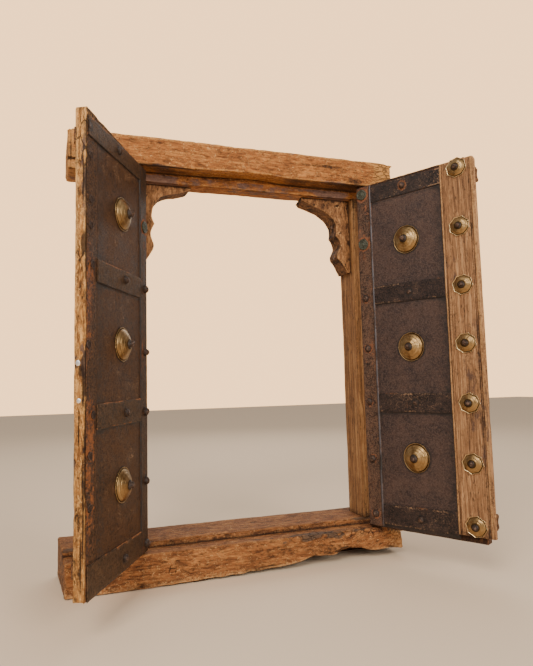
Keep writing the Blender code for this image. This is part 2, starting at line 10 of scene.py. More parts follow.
import bpy
import numpy as np
from mathutils import Matrix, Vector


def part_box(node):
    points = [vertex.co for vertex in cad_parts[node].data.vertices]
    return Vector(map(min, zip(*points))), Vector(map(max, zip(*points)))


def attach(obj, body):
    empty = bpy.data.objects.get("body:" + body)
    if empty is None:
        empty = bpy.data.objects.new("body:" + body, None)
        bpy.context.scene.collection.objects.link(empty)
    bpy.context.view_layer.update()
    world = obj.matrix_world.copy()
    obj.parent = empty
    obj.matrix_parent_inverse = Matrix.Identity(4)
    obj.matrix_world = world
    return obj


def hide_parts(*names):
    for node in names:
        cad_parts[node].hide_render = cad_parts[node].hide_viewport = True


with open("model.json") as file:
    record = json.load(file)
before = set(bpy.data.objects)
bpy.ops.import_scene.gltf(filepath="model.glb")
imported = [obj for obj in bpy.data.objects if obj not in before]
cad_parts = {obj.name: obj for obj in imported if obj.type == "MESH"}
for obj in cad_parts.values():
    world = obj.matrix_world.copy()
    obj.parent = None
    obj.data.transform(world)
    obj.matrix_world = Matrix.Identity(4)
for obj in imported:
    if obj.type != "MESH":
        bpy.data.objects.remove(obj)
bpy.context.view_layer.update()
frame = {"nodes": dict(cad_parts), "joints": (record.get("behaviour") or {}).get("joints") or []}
MM = 0.001
SEAM = 0.3 * MM

# Sizes of the timber frame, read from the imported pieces
LINTEL_LOW, LINTEL_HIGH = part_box("lintel")
SILL_LOW, SILL_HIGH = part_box("sill")
FRONT, BACK = SILL_LOW.y, SILL_HIGH.y
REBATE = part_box("jamb_left")[0].y
TOP = LINTEL_HIGH.z
SOFFIT = LINTEL_LOW.z
TREAD = SILL_HIGH.z
OUTER_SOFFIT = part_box("jamb_left")[1].z + SEAM
FASCIA_BOTTOM = TOP - 45 * MM
SOFFIT_BACK = REBATE + 33 * MM
LEDGE = TREAD - 9.5 * MM
LINTEL_SKEW = 6 * MM
SILL_SKEW = 13 * MM


def soft_step(low, high, value):
    """0 below low, 1 above high, and the cubic 3t^2 - 2t^3 between them."""
    share = np.clip((value - low) / (high - low), 0.0, 1.0)
    return share * share * (3 - 2 * share)


def bump_at(value, centre, half_width):
    """A bell curve of height 1 around the centre."""
    return np.exp(-((value - centre) / half_width) ** 2)


def lattice_value(cell, seed):
    """A fixed share from 0 to 1 for each whole-number cell, by mixing its coordinates' bits."""
    mixed = cell[..., 0] * 374761393 + cell[..., 1] * 668265263 + cell[..., 2] * 974634777
    mixed = (mixed + seed * 1013904223) & 0xFFFFFFFF
    mixed = ((mixed ^ (mixed >> 13)) * 1274126177) & 0xFFFFFFFF
    return ((mixed ^ (mixed >> 16)) & 0xFFFF) / 65535.0


def cloud(points, seed):
    """Smooth noise from -1 to 1: lattice values blended across each cell by the cubic step."""
    cell = np.floor(points).astype(np.int64)
    share = points - cell
    share = share * share * (3 - 2 * share)
    total = np.zeros(points.shape[:-1])
    for corner in np.ndindex(2, 2, 2):
        weight = np.prod(np.where(np.array(corner) == 1, share, 1 - share), axis=-1)
        total += weight * lattice_value(cell + np.array(corner), seed)
    return 2 * total - 1


def axes(points):
    """The three coordinates of points, one array each."""
    return points[..., 0], points[..., 1], points[..., 2]


def rough(points, per_metre, seed, octaves=3):
    """Noise of several octaves. per_metre is its number of waves along each of the three axes."""
    scaled = points * np.array(per_metre, float)
    total, weight, whole = 0.0, 1.0, 0.0
    for octave in range(octaves):
        total = total + weight * cloud(scaled * 2 ** octave, seed + octave)
        whole += weight
        weight *= 0.5
    return total / whole


def peaks(points, per_metre, seed, lift=0.0, octaves=3):
    """The part of the noise above zero, after the lift is added to it."""
    return np.maximum(0.0, rough(points, per_metre, seed, octaves) + lift)


def face_spots(s, z):
    """Points on a leaf's face for its noises: s and z as they are, and no depth."""
    return np.stack([s, np.zeros_like(s), z], axis=-1)


def corner_rows(places, *pairs):
    """Corners of the shape (rows, corners, 2), a row for each place. A single number is the same
    at all places."""
    return np.stack([np.stack([np.broadcast_to(value, places.shape) for value in pair], axis=-1)
                     for pair in pairs], axis=1)


def low_dome(bends, sides, tip, foot):
    """A low dome in shares: its rings' radii and heights by cosine and sine, as columns, and
    the angles around it."""
    turn = np.linspace(0.0, math.pi / 2, bends)
    ring = np.concatenate([[1.0], np.cos(turn[:-1]), [tip]])[:, None]
    rise = np.concatenate([[foot], np.sin(turn)])[:, None]
    return ring, rise, np.linspace(0.0, 2 * math.pi, sides, endpoint=False)


class Leaf:
    """One shutter: where it turns, how far it stands open, and its own axes s, n and z."""

    def __init__(self, side, joint):
        self.name = side
        self.body = side + "_shutter"
        self.hand = 1 if side == "left" else -1
        turn = math.radians(joint["range_deg"][1])
        self.pivot = np.array([*joint["pos_m"][:2], 0.0])
        self.s_way = np.array([self.hand * math.cos(turn), -math.sin(turn), 0.0])
        self.n_way = np.array([self.hand * math.sin(turn), math.cos(turn), 0.0])
        self.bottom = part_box(side + "_sheet")[0].z - SHEET_INSET
        self.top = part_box(side + "_sheet")[1].z + SHEET_INSET

    def place(self, points):
        """Row-frame points of (s, n, z) ones."""
        s, n, z = (points[..., k, None] for k in range(3))
        return self.pivot + s * self.s_way + n * self.n_way + z * np.array([0.0, 0.0, 1.0])

    def extent(self, node):
        """Lowest and highest s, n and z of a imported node."""
        mesh = frame["nodes"][node].data
        flat = np.zeros(3 * len(mesh.vertices))
        mesh.vertices.foreach_get("co", flat)
        away = flat.reshape(-1, 3) - self.pivot
        local = np.stack([away @ self.s_way, away @ self.n_way, away[:, 2]], axis=1)
        return local.min(0), local.max(0)

    def disc(self, node):
        """Middle s and z of a packed round piece, its radius, its lowest n and its height."""
        low, high = self.extent(node)
        s, _, z = (low + high) / 2
        return s, z, (high[2] - low[2]) / 2, low[1], high[1] - low[1]


SHEET_INSET = 2 * MM
WASHER_NUMBERS = (1, 2)
JOINTS = {joint["child"]: joint for joint in frame["joints"]}
LEFT = Leaf("left", JOINTS["left_shutter"])
RIGHT = Leaf("right", JOINTS["right_shutter"])


def outline(corners, radii, counts, bend=5):
    """Rings of points around polygons, whose corners have the shape (rows, corners, 2). A corner
    is rounded by the parabola that touches both sides at its radius, and each side takes its own
    count of points. Also returns each point's distance to the nearest outward corner and to the
    nearest inward one."""
    number = corners.shape[1]
    to_next = np.roll(corners, -1, 1) - corners
    length = np.linalg.norm(to_next, axis=2, keepdims=True)
    ahead = to_next / length
    behind = -np.roll(ahead, 1, 1)
    area = np.sum(corners[0, :, 0] * np.roll(corners[0, :, 1], -1)
                  - corners[0, :, 1] * np.roll(corners[0, :, 0], -1))
    cross = ahead[0, :, 0] * behind[0, :, 1] - ahead[0, :, 1] * behind[0, :, 0]
    outward = cross * area > 0
    radii = np.asarray(radii, float)
    points, convex, concave = [], [], []
    far = 1.0
    for k in range(number):
        start = corners[:, k] + behind[:, k] * radii[k]
        end = corners[:, k] + ahead[:, k] * radii[k]
        for q in np.linspace(0.0, 1.0, bend):
            points.append((1 - q) ** 2 * start + 2 * q * (1 - q) * corners[:, k] + q * q * end)
            convex.append(0.0 if outward[k] else far)
            concave.append(far if outward[k] else 0.0)
        after = (k + 1) % number
        finish = corners[:, after] + behind[:, after] * radii[after]
        span = float(np.mean(np.linalg.norm(finish - end, axis=1)))
        for share in np.linspace(0.0, 1.0, counts[k] + 2)[1:-1]:
            points.append(end + (finish - end) * share)
            near = {True: far, False: far}
            near[bool(outward[k])] = span * share
            near[bool(outward[after])] = min(near[bool(outward[after])], span * (1 - share))
            convex.append(near[True])
            concave.append(near[False])
    rings = np.stack(points, axis=1)
    shape = rings.shape[:2]
    return rings, np.broadcast_to(convex, shape), np.broadcast_to(concave, shape)


def stations(start, end, step, bend_radius, bends=5):
    """Places along a bar, bunched at both ends along a quarter circle, and how far the section
    is drawn in at each: the circle's own height there."""
    turn = np.linspace(0.0, math.pi / 2, bends)[:-1]
    count = max(2, int(round((end - start - 2 * bend_radius) / step)) + 1)
    middle = np.linspace(start + bend_radius, end - bend_radius, count)
    near = bend_radius * (1 - np.cos(turn))
    inset = bend_radius * (1 - np.sin(turn))
    places = np.concatenate([start + near, middle, end - near[::-1]])
    return places, np.concatenate([inset, np.zeros(count), inset[::-1]])


def bar(corners_at, radii, counts, reach, step, bend_radius, hub, caps=9):
    """A solid bar: the outline of its corners carried along it, drawn in along a quarter circle
    at both ends, and shrunk on its end faces towards the hub. Returns points as (along, a, b)
    and the distances to outward edges, to inward corners and past the end edge."""
    places, inset = stations(reach[0], reach[1], step, bend_radius)
    corners = corners_at(places)
    rings, convex, concave = outline(corners, radii, counts)
    tangent = np.roll(rings, -1, 1) - np.roll(rings, 1, 1)
    sideways = np.stack([tangent[..., 1], -tangent[..., 0]], axis=-1)
    sideways /= np.linalg.norm(sideways, axis=2, keepdims=True) + 1e-12
    hub = np.array(hub, float)
    facing = np.sign(np.mean(np.sum(sideways[0] * (rings[0] - hub), axis=-1)))
    rings = rings - facing * sideways * inset[:, None, None]
    from_end = np.minimum(places - reach[0], reach[1] - places)[:, None] + np.zeros(rings.shape[:2])
    shares = (1 - np.linspace(0.0, 1.0, caps + 1)[1:-1]) ** 0.8
    low = hub + (rings[0] - hub) * shares[::-1, None, None]
    high = hub + (rings[-1] - hub) * shares[:, None, None]
    along = np.concatenate([np.full(len(low), reach[0]), places, np.full(len(high), reach[1])])
    rings = np.concatenate([low, rings, high])
    points = np.concatenate([np.broadcast_to(along[:, None, None], (*rings.shape[:2], 1)), rings],
                            axis=2)
    width = float(np.mean(np.linalg.norm(rings[caps] - hub, axis=-1)))
    onto_end = np.broadcast_to(((1 - shares) * width)[:, None], low.shape[:2])
    pad = ((caps - 1, caps - 1), (0, 0))
    convex = np.pad(convex, pad, mode="edge")
    concave = np.pad(concave, pad, mode="edge")
    past = np.concatenate([onto_end[::-1], np.zeros(from_end.shape), onto_end])
    ends = np.concatenate([onto_end[::-1], from_end, onto_end])
    edge = np.where(past > 0, past, np.minimum(convex, ends))
    return {"points": points, "edge": edge, "nook": np.where(past > 0, 1.0, concave), "end": past}


def outward(points):
    """Unit normals of a grid whose columns run around: the cross product of its two directions,
    turned to look away from the middle."""
    around = np.roll(points, -1, 1) - np.roll(points, 1, 1)
    down = np.gradient(points, axis=0)
    normal = np.cross(around, down)
    normal /= np.linalg.norm(normal, axis=2, keepdims=True) + 1e-12
    facing = np.sum(normal * (points - points.mean((0, 1))))
    return normal * (1.0 if facing > 0 else -1.0)


def grid_faces(rows, cols, wrap):
    """Index quads of a grid, joined around its columns where wrap is set."""
    index = np.arange(rows * cols).reshape(rows, cols)
    right = np.roll(index, -1, 1) if wrap else index[:, 1:]
    left = index if wrap else index[:, :-1]
    return np.stack([left[:-1], right[:-1], right[1:], left[1:]], axis=-1).reshape(-1, 4)


def placed(name, data):
    """A new object in the scene that shows the data."""
    thing = bpy.data.objects.new(name, data)
    bpy.context.scene.collection.objects.link(thing)
    return thing


def mesh_piece(name, points, faces, marks, finish):
    """A smooth mesh whose faces are turned to look outwards: they are all reversed where the sum
    of the wedges from the origin to each face is negative. Marks become point attributes."""
    volume = 0.0
    for group in faces:
        first = points[group[:, 0]]
        for k in range(1, group.shape[1] - 1):
            volume += np.sum(first * np.cross(points[group[:, k]], points[group[:, k + 1]]))
    lists = []
    for group in faces:
        lists += (group if volume > 0 else group[:, ::-1]).tolist()
    mesh = bpy.data.meshes.new(name)
    mesh.from_pydata(points.tolist(), [], lists)
    for mark, values in marks.items():
        kind = "FLOAT_VECTOR" if values.ndim == 2 else "FLOAT"
        attribute = mesh.attributes.new(mark, kind, "POINT")
        attribute.data.foreach_set("vector" if values.ndim == 2 else "value",
                                   np.ascontiguousarray(values, np.float32).ravel())
    mesh.shade_smooth()
    mesh.materials.append(finish)
    return placed(name, mesh)


def shell(name, points, marks, finish):
    """Closed mesh of a grid whose columns run around; its first and last rows each close on a
    point in their middle."""
    rows, cols = points.shape[:2]
    ends = np.stack([points[0].mean(0), points[-1].mean(0)])
    flat = np.concatenate([points.reshape(-1, 3), ends])
    spread = {}
    for mark, values in marks.items():
        tail = values.shape[2:]
        ends = np.stack([values[0].mean(0), values[-1].mean(0)])
        spread[mark] = np.concatenate([values.reshape(-1, *tail), ends])
    column = np.arange(cols)
    after = np.roll(column, -1)
    last = (rows - 1) * cols
    first_fan = np.stack([after, column, np.full(cols, rows * cols)], axis=1)
    last_fan = np.stack([last + column, last + after, np.full(cols, rows * cols + 1)], axis=1)
    return mesh_piece(name, flat, [grid_faces(rows, cols, True), first_fan, last_fan], spread, finish)


def slab(name, front, back, marks, finish):
    """Closed mesh of a plate: a front grid, a back grid of the same shape, and a strip that
    joins their rims."""
    rows, cols = front.shape[:2]
    size = rows * cols
    index = np.arange(size).reshape(rows, cols)
    rim = np.concatenate([index[0, :-1], index[:-1, -1], index[-1, :0:-1], index[:0:-1, 0]])
    after = np.roll(rim, -1)
    front_faces = grid_faces(rows, cols, False)
    strip = np.stack([rim, rim + size, after + size, after], axis=1)
    flat = np.concatenate([front.reshape(-1, 3), back.reshape(-1, 3)])
    spread = {}
    for mark, values in marks.items():
        once = values.reshape(-1, *values.shape[2:])
        spread[mark] = np.concatenate([once, once])
    return mesh_piece(name, flat, [front_faces, front_faces[:, ::-1] + size, strip], spread, finish)


def settle(piece, body, nodes):
    """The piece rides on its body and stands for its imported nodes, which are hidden."""
    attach(piece, body)
    if nodes:
        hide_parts(*nodes)
    return piece


def paint(red, green, blue):
    """A colour given as it looks on a screen, 0 to 255, as the shader's linear values."""
    shares = [channel / 255 for channel in (red, green, blue)]
    linear = [c / 12.92 if c < 0.04045 else ((c + 0.055) / 1.055) ** 2.4 for c in shares]
    return (*linear, 1.0)


class Net:
    """Shorthand for one node tree: a node is added with its settings, its sockets take values
    or other nodes' outputs."""

    def __init__(self, tree):
        self.tree = tree

    def add(self, kind, sockets=None, **settings):
        node = self.tree.nodes.new(kind)
        for key, value in settings.items():
            setattr(node, key, value)
        for key, value in (sockets or {}).items():
            if isinstance(value, bpy.types.NodeSocket):
                self.tree.links.new(value, node.inputs[key])
            else:
                node.inputs[key].default_value = value
        return node

    def sum(self, operation, first, second=0.0, third=0.0):
        """One step of arithmetic."""
        node = self.add("ShaderNodeMath", {0: first, 1: second, 2: third}, operation=operation)
        return node.outputs[0]

    def times(self, first, second):
        return self.sum("MULTIPLY", first, second)

    def added(self, first, share, base):
        """A share of the first value, on top of the base."""
        return self.sum("MULTIPLY_ADD", first, share, base)

    def off_half(self, noise):
        """How far a noise lies from one half: zero along its winding middle lines."""
        return self.sum("ABSOLUTE", self.sum("SUBTRACT", noise, 0.5))

    def scaled(self, vector, scale):
        node = self.add("ShaderNodeVectorMath", {0: vector, 1: scale}, operation="MULTIPLY")
        return node.outputs[0]

    def shifted(self, vector, other):
        node = self.add("ShaderNodeVectorMath", {0: vector, 1: other}, operation="ADD")
        return node.outputs[0]

    def mix(self, share, first, second):
        node = self.add("ShaderNodeMix", {0: share, 6: first, 7: second}, data_type="RGBA")
        return node.outputs[2]

    def ramp(self, value, low, high, to_low=0.0, to_high=1.0):
        node = self.add("ShaderNodeMapRange", {"Value": value, "From Min": low, "From Max": high,
                                               "To Min": to_low, "To Max": to_high},
                        interpolation_type="SMOOTHSTEP")
        return node.outputs[0]

    def noise(self, vector, scale=1.0, detail=4.0, roughness=0.6, distortion=0.0, colour=False):
        node = self.add("ShaderNodeTexNoise", {"Vector": vector, "Scale": scale, "Detail": detail,
                                               "Roughness": roughness, "Distortion": distortion})
        return node.outputs["Color" if colour else "Fac"]

    def broken(self, mark, ragged, low, high, strength, onset):
        """A mark with a broken rim: the noise, less a half, times its strength is added before
        the ramp, and nothing shows where the mark itself is zero."""
        lifted = self.added(self.sum("SUBTRACT", ragged, 0.5), strength, mark)
        return self.times(self.ramp(lifted, low, high), self.ramp(mark, 0.0, onset))

    def give(self, out, **values):
        """Joins the values to a group's outputs and returns its tree."""
        for label, value in values.items():
            self.tree.links.new(value, out[label])
        return self.tree

    def mark(self, name, vector=False):
        node = self.add("ShaderNodeAttribute", attribute_name=name)
        return node.outputs["Vector" if vector else "Fac"]


def group(name, takes, gives):
    """An empty shader node group with its sockets. Returns its net, inputs and output node."""
    tree = bpy.data.node_groups.new(name, "ShaderNodeTree")
    kinds = {"value": "NodeSocketFloat", "colour": "NodeSocketColor", "vector": "NodeSocketVector"}
    for way, sockets in (("INPUT", takes), ("OUTPUT", gives)):
        for label, kind in sockets.items():
            tree.interface.new_socket(label, in_out=way, socket_type=kinds[kind])
    net = Net(tree)
    return net, net.add("NodeGroupInput").outputs, net.add("NodeGroupOutput").inputs


def wood_figure():
    """Grain: three noises drawn out along the grain, for fibres, bands and clouds, warped a
    little so that the figure curls. Light flecks lie on the lines where a noise is one half,
    and dark pits where another one is high."""
    net, given, out = group("wood figure", {
        "Place": "vector", "Dark": "colour", "Middle": "colour", "Light": "colour",
        "Fibre": "vector", "Curl": "value", "Flecks": "value", "Pores": "value"},
        {"Colour": "colour", "Height": "value"})
    sway = net.noise(net.scaled(given["Place"], (16.0, 34.0, 34.0)), detail=3.0, colour=True)
    sway = net.shifted(sway, (-0.5, -0.5, -0.5))
    curl = net.add("ShaderNodeVectorMath", {0: sway, "Scale": given["Curl"]}, operation="SCALE")
    drawn = net.shifted(net.scaled(given["Place"], given["Fibre"]), curl.outputs[0])
    fine = net.noise(drawn, 1.0, 6.0, 0.66)
    band = net.noise(net.scaled(drawn, (0.35, 0.16, 0.16)), 1.0, 3.0)
    clouds = net.noise(given["Place"], 30.0, 6.0, 0.70)
    tone = net.added(fine, 0.62, net.times(band, 0.20))
    tone = net.added(clouds, 0.18, tone)
    colour = net.mix(net.ramp(tone, 0.36, 0.50), given["Dark"], given["Middle"])
    colour = net.mix(net.ramp(tone, 0.49, 0.61), colour, given["Light"])
    hair = net.noise(net.scaled(drawn, (1.6, 2.2, 2.2)), 1.0, 3.0)
    dark_hair = net.times(net.ramp(hair, 0.53, 0.62), 0.50)
    pale_hair = net.times(net.ramp(hair, 0.47, 0.38), 0.40)
    colour = net.mix(dark_hair, colour, given["Dark"])
    colour = net.mix(pale_hair, colour, given["Light"])
    stroke = net.noise(net.scaled(given["Place"], (110.0, 230.0, 230.0)), 1.0, 1.0, 0.6, 1.8)
    stroke = net.off_half(stroke)
    often = net.noise(given["Place"], 140.0, 2.0)
    fleck = net.times(net.ramp(stroke, 0.010, 0.024, 1.0, 0.0), net.ramp(often, 0.45, 0.54))
    shown = net.times(fleck, given["Flecks"])
    colour = net.mix(shown, colour, net.mix(0.5, given["Light"], paint(250, 202, 140)))
    pore = net.noise(net.scaled(given["Place"], (105.0, 330.0, 330.0)), 1.0, 3.0, 0.6, 0.6)
    pitted = net.times(net.ramp(pore, 0.57, 0.70), given["Pores"])
    colour = net.mix(pitted, colour, net.mix(0.72, given["Dark"], paint(18, 9, 4)))
    height = net.added(fine, 0.9, net.times(clouds, 0.35))
    height = net.added(hair, -0.35, net.added(shown, 0.22, height))
    height = net.added(pitted, -0.60, height)
    return net.give(out, Colour=colour, Height=height)


def weathering():
    """Age on wood: each mark shows where it and a fine noise together pass a threshold, so its
    rim is broken up. The worn mark is pale wear and also painted light on shaded faces, grey is
    weathered, the grime mark is dark dirt and also painted shade, and cracks follow the edges of
    drawn-out cells."""
    net, given, out = group("weathering", {
        "Place": "vector", "Colour": "colour", "Height": "value",
        "Worn": "value", "Worn Colour": "colour", "Grey": "value", "Grey Colour": "colour",
        "Grime": "value", "Grime Colour": "colour", "Cracks": "value", "Crack Cells": "vector"},
        {"Colour": "colour", "Height": "value", "Roughness": "value"})
    crumb = net.noise(given["Place"], 330.0, 6.0, 0.68)
    patch = net.noise(net.scaled(given["Place"], (60.0, 110.0, 110.0)), 1.0, 5.0, 0.7)
    worn = net.broken(given["Worn"], crumb, 0.38, 0.72, 1.5, 0.12)
    grey = net.broken(given["Grey"], patch, 0.40, 0.66, 1.5, 0.12)
    grime = net.broken(given["Grime"], crumb, 0.20, 0.95, 1.5, 0.12)
    half_worn = net.mix(0.5, given["Worn Colour"], given["Colour"])
    tinted = net.mix(net.ramp(crumb, 0.35, 0.65), half_worn, given["Worn Colour"])
    colour = net.mix(net.times(worn, 0.85), given["Colour"], tinted)
    dirty_grey = net.mix(0.55, given["Grey Colour"], given["Grime Colour"])
    greyed = net.mix(net.ramp(crumb, 0.30, 0.70), dirty_grey, given["Grey Colour"])
    colour = net.mix(net.times(grey, 0.82), colour, greyed)
    colour = net.mix(net.times(grime, 0.88), colour, given["Grime Colour"])
    bent = net.noise(given["Place"], 150.0, 3.0, colour=True)
    cells = net.scaled(given["Place"], given["Crack Cells"])
    cells = net.shifted(cells, net.scaled(bent, (0.5, 0.5, 0.5)))
    crack = net.add("ShaderNodeTexVoronoi", {"Vector": cells, "Scale": 1.0},
                    feature="DISTANCE_TO_EDGE").outputs["Distance"]
    crack = net.times(net.ramp(crack, 0.015, 0.075, 1.0, 0.0), given["Cracks"])
    colour = net.mix(net.times(crack, 0.9), colour, paint(28, 14, 8))
    height = net.added(crumb, 0.35, given["Height"])
    height = net.added(grey, -0.25, height)
    height = net.added(crack, -1.2, height)
    roughness = net.added(worn, -0.10, 0.74)
    roughness = net.added(grime, 0.08, roughness)
    return net.give(out, Colour=colour, Height=height, Roughness=roughness)


def iron_skin():
    """Old sheet iron: clouds of two browns under coarse grit and short pale scratches, which lie
    where a drawn-out noise is one half. Rust, rubbed metal with painted highlights, dirt with
    painted shade, and bare wood under torn-away iron show where their mark and a noise together
    pass a threshold."""
    net, given, out = group("iron skin", {
        "Place": "vector", "Dark": "colour", "Brown": "colour", "Rust Colour": "colour",
        "Rust": "value", "Rubbed": "value", "Rubbed Colour": "colour", "Torn": "value",
        "Dirt": "value", "Under Colour": "colour", "Drawn": "vector", "Grit": "value",
        "Grit Colour": "colour", "Scratches": "value"},
        {"Colour": "colour", "Height": "value", "Roughness": "value", "Metallic": "value"})
    clouds = net.noise(net.scaled(given["Place"], given["Drawn"]), 1.0, 8.0, 0.74, 0.3)
    grit = net.noise(given["Place"], 400.0, 6.0, 0.72)
    pits = net.noise(given["Place"], 190.0, 5.0, 0.74)
    colour = net.mix(net.ramp(clouds, 0.36, 0.64), given["Dark"], given["Brown"])
    speck = net.times(net.ramp(grit, 0.46, 0.66), given["Grit"])
    colour = net.mix(net.times(speck, 0.7), colour, given["Grit Colour"])
    crinkle = net.noise(given["Place"], 230.0, 3.0, 0.6, 0.9)
    crinkle = net.times(net.ramp(net.off_half(crinkle), 0.010, 0.060, 1.0, 0.0), given["Grit"])
    colour = net.mix(net.times(crinkle, 0.75), colour, given["Grit Colour"])
    sunk = net.times(net.ramp(pits, 0.46, 0.34), given["Grit"])
    colour = net.mix(net.times(sunk, 0.9), colour, paint(16, 10, 8))
    stroke = net.noise(net.scaled(given["Place"], (70.0, 70.0, 190.0)), 1.0, 2.0, 0.6, 1.6)
    stroke = net.off_half(stroke)
    often = net.noise(given["Place"], 45.0, 4.0, 0.7)
    scratch = net.times(net.ramp(stroke, 0.006, 0.026, 1.0, 0.0), net.ramp(often, 0.52, 0.64))
    scratch = net.times(scratch, given["Scratches"])
    colour = net.mix(scratch, colour, given["Rubbed Colour"])
    rust = net.broken(given["Rust"], pits, 0.42, 0.74, 1.9, 0.1)
    rubbed = net.broken(given["Rubbed"], grit, 0.34, 0.80, 1.9, 0.1)
    torn = net.broken(given["Torn"], clouds, 0.46, 0.60, 1.9, 0.1)
    dirt = net.broken(given["Dirt"], pits, 0.20, 0.80, 1.9, 0.1)
    dark_rust = net.mix(0.55, given["Rust Colour"], paint(52, 30, 18))
    orange = net.mix(net.ramp(grit, 0.40, 0.60), dark_rust, given["Rust Colour"])
    colour = net.mix(net.times(rubbed, 0.8), colour, given["Rubbed Colour"])
    colour = net.mix(net.times(rust, 0.80), colour, orange)
    under = net.mix(net.ramp(pits, 0.40, 0.62), given["Under Colour"], paint(34, 20, 12))
    colour = net.mix(torn, colour, under)
    colour = net.mix(net.times(dirt, 0.85), colour, paint(15, 10, 8))
    height = net.added(pits, 0.9, net.times(grit, 0.5))
    height = net.added(clouds, 0.4, net.added(crinkle, 0.25, height))
    height = net.added(torn, -0.9, height)
    roughness = net.ramp(clouds, 0.3, 0.7, 0.48, 0.64)
    roughness = net.added(rust, 0.22, roughness)
    roughness = net.added(rubbed, -0.12, roughness)
    plain = net.sum("MAXIMUM", rust, net.sum("MAXIMUM", torn, dirt))
    metallic = net.added(plain, -0.45, 0.45)
    return net.give(out, Colour=colour, Height=height, Roughness=roughness, Metallic=metallic)


def brass_skin():
    """Old brass: clouds of two tones, brown patina where the recess mark and a noise pass a
    threshold, brighter metal on rubbed places, tiny dark spots."""
    net, given, out = group("brass skin", {
        "Place": "vector", "Tone": "colour", "Deep": "colour", "Bright": "colour",
        "Recess": "value", "Rubbed": "value"},
        {"Colour": "colour", "Height": "value", "Roughness": "value"})
    clouds = net.noise(given["Place"], 120.0, 6.0, 0.66, 0.5)
    grit = net.noise(given["Place"], 900.0, 4.0, 0.7)
    colour = net.mix(net.ramp(clouds, 0.28, 0.66), given["Deep"], given["Tone"])
    rubbed = net.added(net.sum("SUBTRACT", clouds, 0.5), 0.8, given["Rubbed"])
    colour = net.mix(net.ramp(rubbed, 0.30, 0.85), colour, given["Bright"])
    recess = net.added(net.sum("SUBTRACT", clouds, 0.5), 0.9, given["Recess"])
    recess = net.ramp(recess, 0.30, 0.95)
    colour = net.mix(net.times(recess, 0.85), colour, paint(44, 30, 18))
    spots = net.ramp(grit, 0.36, 0.28)
    colour = net.mix(net.times(spots, 0.6), colour, paint(40, 28, 18))
    height = net.added(clouds, 0.5, net.times(grit, 0.3))
    roughness = net.ramp(clouds, 0.3, 0.7, 0.30, 0.42)
    roughness = net.added(recess, 0.25, roughness)
    return net.give(out, Colour=colour, Height=height, Roughness=roughness)


FIGURE = wood_figure()
WEATHER = weathering()
IRON = iron_skin()
BRASS = brass_skin()


def shaded(name, relief):
    """A new material and its net, with a bump that stands relief metres deep."""
    made = bpy.data.materials.new(name)
    made.use_nodes = True
    net = Net(made.node_tree)
    shader = made.node_tree.nodes["Principled BSDF"]
    bump = net.add("ShaderNodeBump", {"Strength": 1.0, "Distance": relief})
    made.node_tree.links.new(bump.outputs["Normal"], shader.inputs["Normal"])
    return made, net, shader.inputs, bump.inputs["Height"]


def fill(node, colours, numbers):
    """Sets the sockets of a group: colours as on a screen, numbers and vectors as they are."""
    for label, value in colours.items():
        node.inputs[label].default_value = paint(*value)
    for label, value in numbers.items():
        node.inputs[label].default_value = value


def dress(net, skin, shader, bump, marks):
    """Joins a group to the marks of its mesh, and its outputs to the shader and the bump."""
    join = net.tree.links.new
    for label in marks:
        join(net.mark(label.lower()), skin.inputs[label])
    join(skin.outputs["Colour"], shader["Base Color"])
    join(skin.outputs["Roughness"], shader["Roughness"])
    join(skin.outputs["Height"], bump)


def wood(name, tones, fibre, curl, flecks, pores, worn, grey, grime, crack_cells, relief):
    """Wood that reads its mesh's marks for wear and painted light, grey, grime and painted shade, and cracks.
    """
    made, net, shader, bump = shaded(name, relief)
    place = net.mark("grain", vector=True)
    figure = net.add("ShaderNodeGroup", node_tree=FIGURE)
    weather = net.add("ShaderNodeGroup", node_tree=WEATHER)
    join = made.node_tree.links.new
    for node in (figure, weather):
        join(place, node.inputs["Place"])
    fill(figure, dict(zip(("Dark", "Middle", "Light"), tones)),
         {"Fibre": fibre, "Curl": curl, "Flecks": flecks, "Pores": pores})
    join(figure.outputs["Colour"], weather.inputs["Colour"])
    join(figure.outputs["Height"], weather.inputs["Height"])
    fill(weather, {"Worn Colour": worn, "Grey Colour": grey, "Grime Colour": grime},
         {"Crack Cells": crack_cells})
    dress(net, weather, shader, bump, ("Worn", "Grey", "Grime", "Cracks"))
    shader["Specular IOR Level"].default_value = 0.32
    return made


def iron(name, dark, brown, rust, rubbed, under, drawn, grit, grit_colour, scratches, relief):
    """Iron that reads its mesh's marks for rust, rubbed metal and painted highlight, torn iron, and dirt and
    painted shade.
    """
    made, net, shader, bump = shaded(name, relief)
    skin = net.add("ShaderNodeGroup", node_tree=IRON)
    join = made.node_tree.links.new
    join(net.mark("grain", vector=True), skin.inputs["Place"])
    fill(skin, {"Dark": dark, "Brown": brown, "Rust Colour": rust, "Rubbed Colour": rubbed,
                "Under Colour": under, "Grit Colour": grit_colour},
         {"Drawn": drawn, "Grit": grit, "Scratches": scratches})
    dress(net, skin, shader, bump, ("Rust", "Rubbed", "Torn", "Dirt"))
    join(skin.outputs["Metallic"], shader["Metallic"])
    return made


def brass(name, tone, deep, bright, relief):
    """Brass that reads the marks recess and rubbed of its mesh."""
    made, net, shader, bump = shaded(name, relief)
    skin = net.add("ShaderNodeGroup", {"Place": net.mark("grain", vector=True)}, node_tree=BRASS)
    fill(skin, {"Tone": tone, "Deep": deep, "Bright": bright}, {})
    dress(net, skin, shader, bump, ("Recess", "Rubbed"))
    shader["Metallic"].default_value = 1.0
    return made


